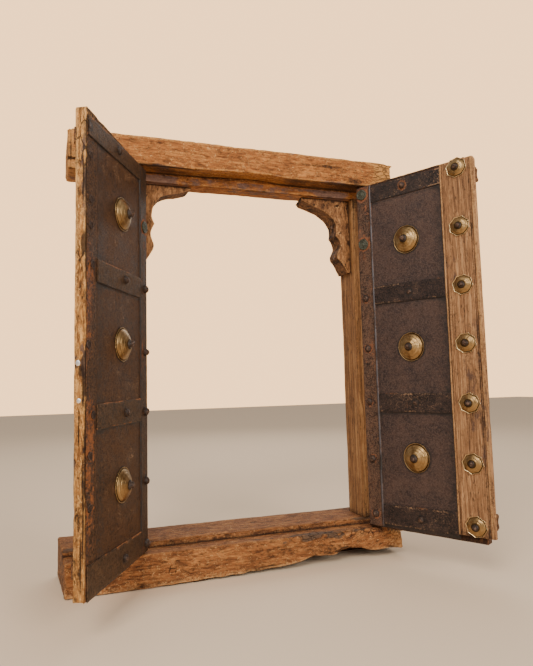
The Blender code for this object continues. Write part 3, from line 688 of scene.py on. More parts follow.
GRIME_BROWN = (34, 18, 9)
WEATHERED = (122, 98, 92)
OCHRE = (206, 148, 80)
LINTEL_WOOD = wood("lintel_wood", ((92, 52, 22), (156, 94, 43), (194, 130, 68)),
                   (50.0, 230.0, 230.0), 2.2, 0.75, 0.50, OCHRE, WEATHERED, GRIME_BROWN,
                   (60.0, 150.0, 150.0), 1.6 * MM)
SILL_WOOD = wood("sill_wood", ((80, 44, 21), (138, 84, 43), (184, 124, 70)),
                 (36.0, 190.0, 190.0), 3.0, 0.75, 0.60, (214, 162, 106),
                 (104, 84, 68), GRIME_BROWN, (80.0, 120.0, 120.0), 2.0 * MM)
JAMB_WOOD = wood("jamb_wood", ((66, 40, 22), (136, 92, 54), (182, 136, 88)),
                 (7.0, 230.0, 230.0), 0.9, 0.15, 0.65, OCHRE, WEATHERED, GRIME_BROWN,
                 (40.0, 200.0, 200.0), 0.8 * MM)
CARVED_WOOD = wood("carved_wood", ((72, 42, 22), (130, 86, 50), (174, 124, 78)),
                   (80.0, 210.0, 210.0), 2.4, 0.30, 0.95, (196, 146, 92), WEATHERED,
                   GRIME_BROWN, (120.0, 160.0, 160.0), 1.0 * MM)
BOARD_WOOD = wood("board_wood", ((84, 48, 22), (172, 116, 58), (222, 168, 100)),
                  (60.0, 230.0, 230.0), 3.6, 0.65, 0.90, (220, 168, 104),
                  (92, 76, 74), GRIME_BROWN, (34.0, 150.0, 150.0), 1.4 * MM)
BORDER_WOOD = wood("border_wood", ((44, 26, 16), (88, 54, 33), (140, 94, 58)),
                   (24.0, 210.0, 210.0), 1.2, 0.35, 0.80, (170, 118, 70),
                   (92, 72, 68), GRIME_BROWN, (22.0, 160.0, 160.0), 0.8 * MM)
STRIP_WOOD = wood("strip_wood", ((80, 52, 33), (144, 102, 67), (190, 144, 101)),
                  (12.0, 330.0, 330.0), 1.6, 0.20, 0.70, (198, 150, 98),
                  (104, 78, 66), GRIME_BROWN, (26.0, 220.0, 220.0), 0.9 * MM)
RUST = (156, 98, 58)
BLUE_GREY = (88, 87, 93)
BARE_WOOD = (128, 74, 34)
LEFT_IRON = iron("left_sheet_iron", (52, 33, 18), (80, 52, 29), RUST,
                 (158, 120, 86), BARE_WOOD, (26.0, 26.0, 26.0), 0.90, (104, 70, 42),
                 0.80, 0.6 * MM)
RIGHT_IRON = iron("right_sheet_iron", (52, 44, 46), (80, 62, 57), RUST,
                  (126, 108, 100), BARE_WOOD, (22.0, 22.0, 22.0), 0.55, (118, 94, 82),
                  0.15, 0.6 * MM)
LEFT_STRAP_IRON = iron("left_strap_iron", (42, 30, 18), (74, 52, 32), (172, 106, 56),
                       (130, 100, 72), BARE_WOOD, (60.0, 60.0, 60.0), 0.70,
                       (112, 82, 56), 0.45, 0.7 * MM)
RIGHT_STRAP_IRON = iron("right_strap_iron", (24, 22, 23), (54, 44, 42), RUST,
                        (176, 138, 104), (188, 138, 88), (45.0, 45.0, 45.0), 0.42,
                        (100, 76, 66), 0.45, 0.7 * MM)
HINGE_IRON = iron("hinge_strip_iron", (26, 22, 24), (98, 72, 58), (160, 96, 58),
                  BLUE_GREY, BARE_WOOD, (40.0, 40.0, 26.0), 0.70, (142, 108, 86), 0.45,
                  0.6 * MM)
LEFT_HINGE_IRON = iron("left_hinge_iron", (30, 21, 13), (74, 51, 31), (160, 90, 46),
                       BLUE_GREY, BARE_WOOD, (40.0, 40.0, 26.0), 0.70, (108, 78, 54), 0.45,
                       0.6 * MM)
EDGE_IRON = iron("edge_strip_iron", (30, 21, 14), (60, 41, 25), RUST,
                 (90, 70, 52), (146, 84, 36), (150.0, 40.0, 150.0), 0.80,
                 (124, 84, 50), 0.35, 0.6 * MM)
NAIL_IRON = iron("nail_iron", (30, 22, 19), (66, 48, 40), (120, 70, 42),
                 (130, 102, 86), BARE_WOOD, (240.0, 240.0, 240.0), 0.35, (120, 92, 74),
                 0.0, 0.25 * MM)
OLD_BRASS = brass("old_brass", (166, 135, 92), (144, 114, 74), (226, 197, 150),
                  0.12 * MM)
GREEN_COPPER = iron("green_copper", (38, 40, 33), (84, 86, 72), (150, 92, 52),
                    (112, 116, 100), BARE_WOOD, (300.0, 300.0, 300.0), 0.40,
                    (110, 114, 98), 0.0, 0.25 * MM)
STEEL_NAIL = brass("bright_steel", (196, 196, 200), (120, 118, 122),
                   (240, 240, 245), 0.05 * MM)


def wood_marks(grain, **levels):
    """Point attributes of a wooden piece; a mark that isn't given is 0 all over."""
    marks = {"grain": grain}
    for name in ("worn", "grey", "grime", "cracks"):
        level = levels.get(name, 0.0)
        marks[name] = np.clip(np.broadcast_to(level, grain.shape[:2]), 0.0, 1.0)
    return marks


def iron_marks(grain, **levels):
    """Point attributes of an iron or brass piece; a mark that isn't given is 0 all over."""
    marks = {"grain": grain}
    for name in ("rust", "rubbed", "torn", "dirt", "recess"):
        level = levels.get(name, 0.0)
        marks[name] = np.clip(np.broadcast_to(level, grain.shape[:2]), 0.0, 1.0)
    return marks


def end_skew(x, y, start, skew):
    """How far an obliquely sawn left end reaches outward: in proportion to the depth y behind
    the front, fading out along the horn."""
    nearness = 1.0 - soft_step(start, start + HORN_FADE, x)
    return -skew * nearness * (y - FRONT) / (BACK - FRONT)


def hewn(grain, part, deep=1.0):
    """How far a hewn and worn surface stands off its plain form: long waves, short tool marks
    and fibres, and edges knocked off by the positive part of a noise."""
    waves = 0.40 * MM * rough(grain, (7, 18, 18), 3)
    marks = 0.34 * MM * rough(grain, (38, 95, 95), 11)
    fibres = 0.30 * MM * rough(grain, (70, 200, 200), 23)
    knocks = peaks(grain, (24, 48, 48), 37, 0.18)
    nibbles = peaks(grain, (130, 190, 190), 41)
    near = bump_at(part["edge"], 0, 3.2 * MM)
    return deep * (waves + marks + fibres) - near * MM * (2.4 * knocks + 1.1 * nibbles)


HORN_FADE = 67 * MM
HORN_START = LINTEL_LOW.x + LINTEL_SKEW
STOPPED = HORN_START + 14 * MM
EASING = 3.0 * MM
EDGE_BAND = 3.0 * MM
TIMBER_STEP = 2.1 * MM
"""How far along a left horn its skew fades, where the lintel's left horn starts and where its
closed part ends, the ease of the lower edge, the width of worn edges, and the step of the
rings along both rails."""


def lintel():
    """Head rail: its outline (proud fascia, shutter rebate, step, soffit, outer rebate) carried
    along X and roughened along its normals. Where the left plank's corner passes, the lower edge
    is eased upwards by the product of two smooth steps. The rebate is closed on the left horn."""
    outline_corners = np.array([
        (FRONT, TOP), (FRONT, FASCIA_BOTTOM), (REBATE, FASCIA_BOTTOM + 1.2 * MM), (REBATE, SOFFIT),
        (SOFFIT_BACK, SOFFIT), (SOFFIT_BACK, OUTER_SOFFIT), (BACK, OUTER_SOFFIT), (BACK, TOP)])

    def corners_at(places):
        corners = np.broadcast_to(outline_corners, (len(places), 8, 2)).copy()
        past_pivot = soft_step(PIVOTS[0] + 60 * MM, -10 * MM, places)
        before_middle = soft_step(60 * MM, 4 * MM, places)
        corners[:, 1:3, 1] += (EASING * past_pivot * before_middle)[:, None]
        closed = soft_step(STOPPED + 8 * MM, STOPPED, places)
        corners[:, 2:4, 0] -= closed[:, None] * (REBATE - FRONT - 4 * MM)
        return corners

    radii = np.array([3.2, 2.6, 0.8, 1.6, 1.2, 0.8, 2.5, 2.5]) * MM
    part = bar(corners_at, radii, (24, 12, 10, 12, 6, 13, 13, 34), (HORN_START, LINTEL_HIGH.x),
               TIMBER_STEP, 4.0 * MM, (-10 * MM, 640 * MM))
    points = part["points"]
    x, y, z = axes(points)
    grain = points.copy()
    push = hewn(grain, part)
    fascia_under = (y > FRONT + 3 * MM) & (y < REBATE + 1 * MM) & (np.abs(z - FASCIA_BOTTOM) < 9 * MM)
    push *= np.where(fascia_under, 0.35, 1.0)
    push -= bump_at(part["edge"], 0, 6 * MM) * 2.0 * MM * bump_at(x, 0.236, 0.006)
    horn_split = bump_at(x, HORN_START + 4 * MM, 1.1 * MM) * (y < FRONT + 8 * MM)
    push -= 1.4 * MM * horn_split
    points = points + outward(points) * push[..., None]
    under = np.clip(-outward(points)[..., 2], 0.0, 1.0)
    blotch = np.clip(rough(grain, (14, 40, 40), 77) * 1.4, 0.0, 1.0)
    worn = 0.62 * np.exp(-part["edge"] / EDGE_BAND) * (1 - under) + (
        0.9 * soft_step(0.185, 0.226, x) * (y < REBATE))
    lip = bump_at(z, FASCIA_BOTTOM + 0.3 * MM, 1.3 * MM) + bump_at(z, SOFFIT + 0.3 * MM, 1.0 * MM)
    in_rebate = y > REBATE - 2 * MM
    # Painted light: the downward faces under the fascia and the top of the rebate wall are lightened with the
    # pale worn colour.
    worn += 0.45 * under * (y < REBATE) + 0.30 * bump_at(z, FASCIA_BOTTOM - 3 * MM, 6 * MM) * in_rebate
    worn += 0.55 * soft_step(HORN_START + 30 * MM, HORN_START + 18 * MM, x)
    # Painted shade: darker in the inward corners and in thin lines along the lower edges of the fascia and
    # the soffit.
    grime = 0.75 * np.exp(-part["nook"] / (1.6 * MM)) + 0.45 * lip * (y < REBATE + 6 * MM)
    pitting = peaks(grain, (110, 240, 240), 79, -0.05)
    grime += 0.9 * pitting * (z < FASCIA_BOTTOM - 1 * MM) * (y < REBATE + 4 * MM)
    lines = peaks(grain, (6, 150, 150), 81, -0.22)
    grime += 3.0 * lines * (y < FRONT + 3 * MM)
    grime += 0.65 * blotch * (z > FASCIA_BOTTOM - 1 * MM) * (z < TOP - 3 * MM) + 0.5 * horn_split
    grime += 0.55 * bump_at(x, 0.168, 0.022) * bump_at(z, FASCIA_BOTTOM + 6 * MM, 7 * MM)
    grey = 0.75 * bump_at(z, SOFFIT + 8 * MM, 9 * MM) * (
        bump_at(x, -0.150, 0.020) + 0.8 * bump_at(x, 0.135, 0.024)) * (y < 0.0)
    grey += 0.35 * np.exp(-part["edge"] / EDGE_BAND) * (y < REBATE)
    patchy = rough(grain, (12, 60, 60), 82) > -0.2
    grey += 0.50 * (z < FASCIA_BOTTOM - 2 * MM) * in_rebate * patchy
    cracks = 0.7 * soft_step(0.196, 0.212, x) * (y < REBATE) + 0.2 * (part["end"] > 0)
    points[..., 0] += end_skew(x, y, HORN_START, LINTEL_SKEW)
    piece = shell("lintel_timber", points,
                  wood_marks(grain, worn=worn, grey=grey, grime=grime, cracks=cracks), LINTEL_WOOD)
    settle(piece, "frame", ["lintel"])


PIVOTS = (LEFT.pivot[0], RIGHT.pivot[0])
SILL_EDGE = ((-200, 1.2), (-100, 2.6), (0, 5.0), (30, 6.5), (50, 9.2), (64, 12.5), (76, 15.0),
             (92, 13.2), (104, 12.2), (113, 14.0), (122, 19.0), (133, 20.6), (148, 18.6),
             (165, 15.5), (180, 13.6), (227, 11.2), (260, 11.0))
"""The worn front edge of the sill in millimetres: place along the sill, and how far the edge has
risen there."""
SILL_STAR = (-0.1438, 0.0225)
"""Place along the sill and above its foot, in metres, of a star of cracks in its front."""
SILL_DROP = 8 * MM


def sill_wear(x):
    """Rise and depth of the worn front bottom edge: the measured rise with straight lines between
    its points and short waves of noise, and a depth that grows to the right by a smooth step."""
    rise = np.interp(x, *(np.array(SILL_EDGE).T * MM))
    depth = 1.5 * MM + 46 * MM * soft_step(-0.11, 0.05, x)
    line = np.stack([x, np.zeros_like(x), np.zeros_like(x)], axis=-1)
    ragged = soft_step(-0.19, 0.05, x)
    rise = rise + (0.5 + 1.0 * ragged) * MM * rough(line, (70, 1, 1), 5, 4)
    return np.maximum(rise, 0.4 * MM), depth


def sill():
    """Foot rail: a section of front, ledge, low stop and tread carried along X. The front
    bottom corner follows the wear, with a hollow under it that reaches deep on the right, and
    the right end sinks by a smooth step."""
    start = SILL_LOW.x + SILL_SKEW
    end = SILL_HIGH.x

    def corners_at(places):
        rise, depth = sill_wear(places)
        drop = SILL_DROP * soft_step(PIVOTS[1] + 12 * MM, end, places)
        return corner_rows(places, (FRONT + 2 * MM + 1.1 * depth, 0.0), (FRONT + depth, 0.8 * rise),
                           (FRONT, rise), (FRONT, LEDGE - drop), (REBATE, LEDGE - drop),
                           (REBATE, TREAD - drop), (BACK, TREAD - drop), (BACK, 0.0))

    radii = np.array([0.3, 0.4, 0.7, 2.2, 0.8, 1.8, 3.0, 3.0]) * MM
    part = bar(corners_at, radii, (5, 14, 18, 13, 5, 30, 18, 20), (start, end), TIMBER_STEP,
               3.0 * MM, (0.0, 22 * MM))
    points = part["points"]
    x, y, z = axes(points)
    swirl = (6 * MM + 8 * MM * soft_step(-0.05, 0.08, x)) * rough(points, (9, 20, 20), 91)
    grain = points + np.stack([swirl * 0, swirl, swirl], axis=-1)
    push = hewn(grain, part, 1.25)
    riser = bump_at(y, REBATE + 2 * MM, 7 * MM) * soft_step(LEDGE, TREAD, z)
    torn = peaks(points, (45, 120, 120), 52, 0.1, 4)
    push -= riser * torn * 2.6 * MM
    push *= np.where(y > REBATE + 12 * MM, 0.45, 1.0)
    upper = bump_at(z, LEDGE - 2 * MM, 9 * MM) * (y < FRONT + 14 * MM)
    push -= 0.9 * MM * upper * peaks(points, (60, 90, 90), 63)
    star = np.hypot(x - SILL_STAR[0], z - SILL_STAR[1]) < 7 * MM
    points = points + outward(points) * push[..., None]
    face = y < FRONT + 10 * MM
    tread = (y > REBATE + 8 * MM) & (z > LEDGE)
    under = np.clip(-outward(points)[..., 2], 0.0, 1.0)
    outer = 1.0 - 0.7 * (y > REBATE - 2 * MM)
    # Pale edge wear, and a lighter band low on the front face that is painted light on the lower lip.
    worn = 0.36 * outer * np.exp(-part["edge"] / EDGE_BAND) + 0.35 * bump_at(z, 7 * MM, 9 * MM) * face
    worn = (worn + 0.12 * riser + 0.5 * soft_step(0.19, 0.215, x) * face) * (under < 0.5)
    ragged = soft_step(-0.35, 0.15, rough(grain, (22, 90, 90), 64, 4))
    mottled = 0.55 + 0.8 * soft_step(-0.2, 0.3, rough(grain, (60, 150, 150), 65, 3))
    grey = 0.85 * upper * soft_step(-0.16, 0.10, x) * bump_at(z, LEDGE - 1 * MM, 9 * MM)
    grey = grey * ragged * mottled
    grey += 0.38 * mottled * face * bump_at(x, 0.06, 0.10) * soft_step(20 * MM, 44 * MM, z)
    grey += 0.8 * riser * (soft_step(-0.150, -0.172, x) + soft_step(0.135, 0.165, x))
    grey += 0.45 * (part["end"] > 0)
    # Painted shade, along with real dirt: darker in the inward corners, in a band along the foot at the
    # floor, and on faces that look down under the worn front.
    grime = 0.85 * np.exp(-part["nook"] / (4 * MM)) + 0.22 * tread + 0.4 * bump_at(z, 0, 2 * MM)
    grime += 0.35 * peaks(grain, (12, 40, 40), 71)
    grime += 0.9 * peaks(grain, (80, 150, 150), 73, -0.15) + 0.95 * under
    streaks = soft_step(0.02, 0.40, rough(grain, (9, 60, 60), 75)) * soft_step(-0.10, 0.03, x)
    grime += 0.62 * face * streaks * (1 - bump_at(z, 6 * MM, 5 * MM)) + 0.9 * under * face
    cracks = 0.9 * star * face + 0.7 * (part["end"] > 0) + 0.2 * soft_step(0.19, 0.21, x) * face
    cracks = cracks + 0.7 * upper * soft_step(0.0, 0.06, x)
    points[..., 0] += end_skew(x, y, start, SILL_SKEW)
    piece = shell("sill_timber", points,
                  wood_marks(grain, worn=worn, grey=grey, grime=grime, cracks=cracks), SILL_WOOD)
    settle(piece, "frame", ["sill"])


KNOT = (0.174, REBATE, 0.2166)
REVEAL_BACK = REBATE + 53 * MM
JAMB_STEP = 16 * MM
"""Middle of the right jamb's knot, the back of the reveal, and the width of the step behind it."""


def jamb(node, side):
    """Side post: its stepped plan carried up Z. Above the soffit the front half is left out.
    The grain parts around one knot: points near it are read from further across."""
    low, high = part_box(node)
    inner, outer = (high.x, low.x) if side < 0 else (low.x, high.x)

    def corners_at(places):
        above = places > SOFFIT - SEAM
        fore = np.where(above, SOFFIT_BACK + SEAM, REBATE)
        step = inner + side * JAMB_STEP
        return corner_rows(places, (inner, fore), (outer, fore), (outer, BACK), (step, BACK),
                           (step, REVEAL_BACK), (inner, REVEAL_BACK))

    radii = np.array([1.6, 1.2, 1.5, 1.5, 0.8, 1.5]) * MM
    part = bar(corners_at, radii, (22, 18, 12, 10, 5, 20), (low.z, high.z), 2.8 * MM, 0.6 * MM,
               (inner + side * 8 * MM, REBATE + 38 * MM), caps=5)
    points = np.roll(part["points"], -1, axis=-1)
    x, y, z = axes(points)
    away = np.hypot((x - KNOT[0]), (z - KNOT[2]) / 1.8) + np.abs(y - KNOT[1])
    knot = bump_at(away, 0, 6 * MM) * (side > 0)
    spread = 7 * MM * bump_at(away, 0, 14 * MM) * np.sign(x - KNOT[0]) * (side > 0)
    grain = np.stack([z, x - spread, y], axis=-1)
    push = 0.20 * MM * rough(grain, (6, 30, 30), 8) + 0.18 * MM * rough(grain, (14, 300, 300), 9)
    chips = peaks(grain, (26, 60, 60), 17, 0.05)
    push -= bump_at(part["edge"], 0, 2 * MM) * 1.7 * MM * chips + 0.6 * MM * knot
    points = points + outward(points) * push[..., None]
    worn = 0.34 * np.exp(-part["edge"] / (2 * MM))
    worn += 0.10 * bump_at(np.abs(x - inner), 12 * MM, 5 * MM) * (y < REBATE + 3 * MM)
    # Painted shade: darker at the foot of the post on the sill and towards its top under the lintel; the
    # knot's darkness is its own.
    grime = 0.9 * knot + 0.6 * bump_at(z, low.z, 8 * MM) + 0.5 * soft_step(SOFFIT - 0.06, SOFFIT, z)
    grime += 0.5 * soft_step(14 * MM, 24 * MM, np.abs(x - inner)) * (y < REBATE + 3 * MM)
    grime += 0.5 * peaks(grain, (9, 90, 90), 27) + 0.35 * soft_step(
        SOFFIT - 0.13, SOFFIT - 0.10, z) * bump_at(np.abs(x - inner), 4 * MM, 2.5 * MM)
    piece = shell(node + "_timber", points,
                  wood_marks(grain, worn=worn, grime=grime, cracks=0.5 * knot), JAMB_WOOD)
    settle(piece, "frame", [node])


BRACKET_OUTLINES = {
    -1: (((81.0, 0.0), (78.0, 4.5), (68.0, 8.5), (57.5, 11.8), (43.1, 15.0), (32.6, 19.3),
          (25.7, 26.7), (21.4, 33.2), (18.9, 41.0), (18.2, 50.0), (19.4, 56.0), (21.9, 62.5),
          (18.6, 69.5), (16.8, 76.0), (16.6, 82.0), (18.3, 88.5), (21.0, 96.5), (19.4, 104.0),
          (14.4, 112.0), (5.0, 126.5)),
         ((78.0, 0.3), (73.5, 3.2), (66.0, 5.2), (57.0, 7.6), (42.6, 10.4), (33.5, 14.6),
          (26.8, 21.0), (22.5, 27.5), (19.5, 34.0), (17.5, 44.0), (17.6, 52.0), (19.8, 62.3),
          (16.5, 69.5), (14.9, 76.0), (14.9, 82.0), (16.5, 88.5), (18.8, 96.5), (17.6, 104.0),
          (13.0, 112.0), (4.8, 126.5))),
    1: (((90.0, 0.0), (88.6, 4.2), (80.0, 8.2), (70.0, 12.2), (58.0, 16.8), (46.1, 21.8),
         (38.8, 26.4), (33.2, 31.3), (28.8, 37.2), (26.2, 43.5), (25.2, 53.0), (25.8, 63.4),
         (20.8, 68.6), (18.4, 75.2), (18.3, 81.5), (21.6, 88.5), (25.8, 96.0), (24.6, 102.6),
         (16.3, 110.4), (6.4, 127.0)),
        ((84.5, 0.3), (80.3, 5.4), (74.5, 7.2), (70.4, 8.6), (55.1, 13.7), (45.5, 18.0),
         (38.9, 22.6), (31.2, 28.5), (26.4, 36.0), (23.0, 43.0), (21.9, 51.0), (23.4, 60.6),
         (19.2, 66.6), (16.9, 73.0), (16.7, 78.5), (19.2, 85.3), (21.9, 93.2), (21.4, 100.2),
         (14.6, 108.4), (6.0, 126.0)))}
BRACKET_KINKS = {-1: (1, 3, 11, 17), 1: (1, 11, 17)}
"""A bracket's outline at its front and at its back, in millimetres from the jamb and below the
soffit, and the points where the carver left a ridge instead of a smooth run."""


def bracket_edge(known, kinks, spacing):
    """An outline as (reach, drop) steps. Between kinks it is a cubic through the four nearest
    points, and the steps crowd in at the kinks, which keeps the ridges sharp."""
    known = np.array(known) * MM
    bounds = [0, *kinks, len(known) - 1]
    runs = []
    for first, last in zip(bounds, bounds[1:]):
        part = known[first:last + 1]
        padded = np.concatenate([[2 * part[0] - part[1]], part, [2 * part[-1] - part[-2]]])
        q = np.linspace(0.0, 1.0, 12, endpoint=False)[:, None]
        line = [0.5 * (2 * b + (c - a) * q + (2 * a - 5 * b + 4 * c - d) * q * q
                       + (3 * b - a - 3 * c + d) * q ** 3)
                for a, b, c, d in zip(padded, padded[1:], padded[2:], padded[3:])]
        line = np.concatenate([*line, part[-1:]])
        length = np.concatenate([[0.0], np.cumsum(np.linalg.norm(np.diff(line, axis=0), axis=1))])
        count = max(3, int((last - first) * spacing))
        even = np.concatenate([[0.0, 0.35 * MM], np.linspace(1.1 * MM, length[-1] - 1.1 * MM, count),
                               [length[-1] - 0.35 * MM]])
        runs.append(np.stack([np.interp(even, length, line[:, k]) for k in range(2)], axis=1))
    return np.concatenate([*runs, known[-1:]])


def bracket(node, side):
    """Carved corner bracket: at each step down a rounded oblong from the jamb out to the cusped
    edge, which runs from the front outline to the back one. The hollows are scooped: their
    middle is deeper than their rims."""
    low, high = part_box(node)
    fore, aft = (bracket_edge(known, BRACKET_KINKS[side], 5.0) for known in BRACKET_OUTLINES[side])
    inner = low.x if side < 0 else high.x
    corners = corner_rows(fore[:, 0], (0.0, low.y), (fore[:, 0], low.y), (aft[:, 0], high.y),
                          (0.0, high.y))
    rings, convex, _ = outline(corners, np.array([0.5, 1.4, 1.4, 0.5]) * MM, (26, 20, 26, 8), 5)
    back_share = (rings[..., 1] - low.y) / (high.y - low.y)
    drops = fore[:, 1, None] + (aft[:, 1] - fore[:, 1])[:, None] * back_share
    reaches = fore[:, 0, None] + (aft[:, 0] - fore[:, 0])[:, None] * back_share
    drops[0] = 0.0
    plain = np.stack([rings[..., 0], rings[..., 1], drops, reaches, convex], axis=-1)
    shrink = (1 - np.linspace(0.0, 1.0, 6)[1:-1])[:, None, None]
    hub = plain[[0, -1]].mean(1)[:, None, None, :]
    plain = np.concatenate([hub[0] + (plain[:1] - hub[0]) * shrink[::-1], plain,
                            hub[1] + (plain[-1:] - hub[1]) * shrink])
    points = np.stack([inner - side * plain[..., 0], plain[..., 1], high.z - plain[..., 2]], axis=-1)
    x, y, z = axes(points)
    convex = plain[..., 4]
    grain = np.stack([z, x, y], axis=-1)
    out = np.abs(x - inner)
    fall = high.z - z
    middle = (y - (low.y + high.y) / 2) / ((high.y - low.y) / 2)
    on_edge = soft_step(-2 * MM, -0.3 * MM, plain[..., 0] - plain[..., 3])
    scoop = on_edge * (1 - middle ** 2) * (
        2.4 * MM * bump_at(fall, 77 * MM, 9 * MM) + 1.2 * MM * bump_at(fall, 40 * MM, 14 * MM)
        + 0.8 * MM * bump_at(fall, 14 * MM, 10 * MM))
    push = 0.22 * MM * rough(grain, (60, 70, 70), 29) + 0.20 * MM * rough(grain, (190, 210, 210), 31)
    chips = peaks(grain, (70, 90, 90), 19, 0.15)
    rim = bump_at(convex, 0, 1.6 * MM)
    push -= rim * 1.3 * MM * chips + scoop
    push -= 1.6 * MM * peaks(grain, (120, 120, 120), 61, -0.35)
    hole = np.hypot(out - HOLE_PLACE[0], fall - HOLE_PLACE[1]) / (2.3 * MM)
    small = np.hypot(out - SMALL_HOLE[0], fall - SMALL_HOLE[1]) / (1.4 * MM)
    front = (y < low.y + 4 * MM) * (side > 0)
    push -= front * (3.5 * MM * np.exp(-hole ** 4) + 1.2 * MM * bump_at(small, 0, 1))
    points = points + outward(points) * push[..., None]
    ringed = bump_at(hole, 1.6, 0.5) + bump_at(small, 1.8, 0.7)
    worn = 0.60 * bump_at(convex, 0, 0.9 * MM) * (middle < 0) + 0.9 * front * ringed
    # Painted shade: dark inside the two holes, over the carved edge away from its rim with two darker
    # creases, next to the jamb and in a line under the soffit.
    grime = front * (1.6 * bump_at(hole, 0, 1) + 0.9 * bump_at(small, 0, 1))
    grime += on_edge * (1 - rim) * (0.46 + 0.5 * bump_at(fall, 105 * MM, 2.5 * MM)
                                    + 0.35 * bump_at(fall, 66 * MM, 3 * MM))
    grime += 0.9 * bump_at(out, 0.0, 3 * MM) + 1.0 * bump_at(fall, 0, 2.4 * MM)
    grime += 1.3 * peaks(grain, (130, 150, 150), 83)
    piece = shell(node + "_carving", points,
                  wood_marks(grain, worn=worn, grime=grime, cracks=0.12), CARVED_WOOD)
    settle(piece, "frame", [node])


HOLE_PLACE = (22.2 * MM, 9.4 * MM)
SMALL_HOLE = (19.6 * MM, 58.7 * MM)
"""Two holes in the right bracket: out from the jamb, and down from the soffit."""


def board(leaf):
    """Plank of a shutter: a rounded oblong plan carried up Z, its meeting edge wavy and its free
    top corner worn round. The left one's top slopes up from the pivot in proportion to s, and
    its meeting edge has long checks along the grain."""
    low, high = leaf.extent(leaf.name + "_board")
    thick = BOARD_HALF
    edge_s = high[0]

    def corners_at(places):
        line = np.stack([places, 0 * places, 0 * places], axis=-1)
        over = np.maximum(0.0, (places - leaf.top + CORNER_WEAR) / CORNER_WEAR)
        edge = edge_s - 0.7 * MM * np.abs(rough(line, (22, 1, 1), 6)) - 0.8 * CORNER_WEAR * over ** 2
        return corner_rows(places, (low[0], -thick), (edge, -thick), (edge, thick), (low[0], thick))

    part = bar(corners_at, np.array([1.4, 1.8, 1.2, 1.4]) * MM, (46, 12, 44, 7),
               (leaf.bottom, leaf.top), 2.4 * MM, 1.6 * MM, (90 * MM, 0.0), caps=8)
    local = np.roll(part["points"], -1, axis=-1)
    s, n, z = axes(local)
    grain = np.stack([z, s, n], axis=-1)
    left = leaf is LEFT
    push = 0.25 * MM * rough(grain, (6, 26, 26), 12) + 0.14 * MM * rough(grain, (16, 280, 280), 13)
    chips = peaks(grain, (22, 60, 60), 47 if left else 48, 0.10)
    nibbles = peaks(grain, (90, 150, 150), 49)
    rim = bump_at(part["edge"], 0, 2.2 * MM)
    push -= rim * MM * (1.5 * chips + 1.2 * nibbles)
    free = soft_step(edge_s - 3 * MM, edge_s - 1 * MM, s)
    climb = -TOP_FALL + TOP_CLIMB * s / edge_s
    local[..., 2] += left * (climb * soft_step(0.55, leaf.top, z)
                             - FOOT_FALL * s / edge_s * soft_step(0.09, leaf.bottom, z))
    check = np.zeros_like(s)
    if left:
        sway = 1.2 * MM * rough(grain, (30, 1, 1), 57)
        for check_z, length, check_n, width in EDGE_CHECKS:
            check += bump_at(z, check_z * MM, length * MM) ** 2 * bump_at(
                n, check_n * MM + sway, width * MM)
    push -= free * 1.6 * MM * np.minimum(check, 1.0)
    local = local + outward(local) * push[..., None]
    patch = rough(grain, (16, 60, 60), 66)
    toward_face = soft_step(-2 * MM, 5.5 * MM, n)
    patch = patch + 0.5 * rough(grain, (60, 140, 140), 67)
    grey = free * (0.75 * toward_face * soft_step(0.0, 0.30, patch)
                   + 0.65 * soft_step(0.22, 0.45, patch)) * (1.0 if left else 0.6)
    grey *= np.where(z > 0.36, 0.45, 1.15)
    worn = 0.45 * rim + 0.35 * free * soft_step(0.36, 0.46, z)
    grime = 2.2 * free * check + 0.80 * (1 - free) * (n > 0) + 0.25 * (1 - free) * (n < 0)
    grime += 1.1 * free * peaks(grain, (75, 170, 170), 88, -0.02)
    grime += 0.25 * free * soft_step(0.30, 0.15, z)
    grime += 0.75 * free * np.exp(-np.abs(n - thick) / (1.0 * MM)) * (patch > -0.1)
    grime += 0.5 * free * np.exp(-np.abs(n + thick) / (0.8 * MM)) * soft_step(0.0, 0.3, patch)
    cracks = free * (0.25 + 0.6 * soft_step(0.0, 0.3, rough(grain, (14, 50, 50), 68)))
    piece = shell(leaf.name + "_plank", leaf.place(local),
                  wood_marks(grain, worn=worn, grey=grey, grime=grime, cracks=cracks),
                  BOARD_WOOD if left else BORDER_WOOD)
    settle(piece, leaf.body, [leaf.name + "_board"])


BOARD_HALF = 7 * MM
CORNER_WEAR = 3.5 * MM
TOP_FALL = 3.5 * MM
TOP_CLIMB = 6.4 * MM
FOOT_FALL = 0.6 * MM
"""How far the left plank's top is lower at the pivot, how much it climbs from there to the
meeting edge, and how much its foot falls."""
EDGE_CHECKS = ((282.0, 30.0, 3.6, 1.5), (446.0, 15.0, 3.2, 2.4), (300.0, 6.0, 0.5, 1.8),
               (150.0, 60.0, 4.6, 0.8), (235.0, 22.0, -1.0, 0.8), (520.0, 30.0, 3.6, 0.7),
               (90.0, 30.0, 2.0, 0.8))
"""Long checks in the left plank's meeting edge, in millimetres: height, half length, place across
the edge and half width."""


def dents(s, z, seed):
    """Hollows and swellings of a thin nailed sheet: two slow noises and a fine one."""
    spot = face_spots(s, z)
    return (0.16 * MM * rough(spot, (9, 1, 9), seed, 2) + 0.09 * MM * rough(spot, (45, 1, 45), seed + 5)
            + 0.05 * MM * rough(spot, (170, 1, 170), seed + 9))


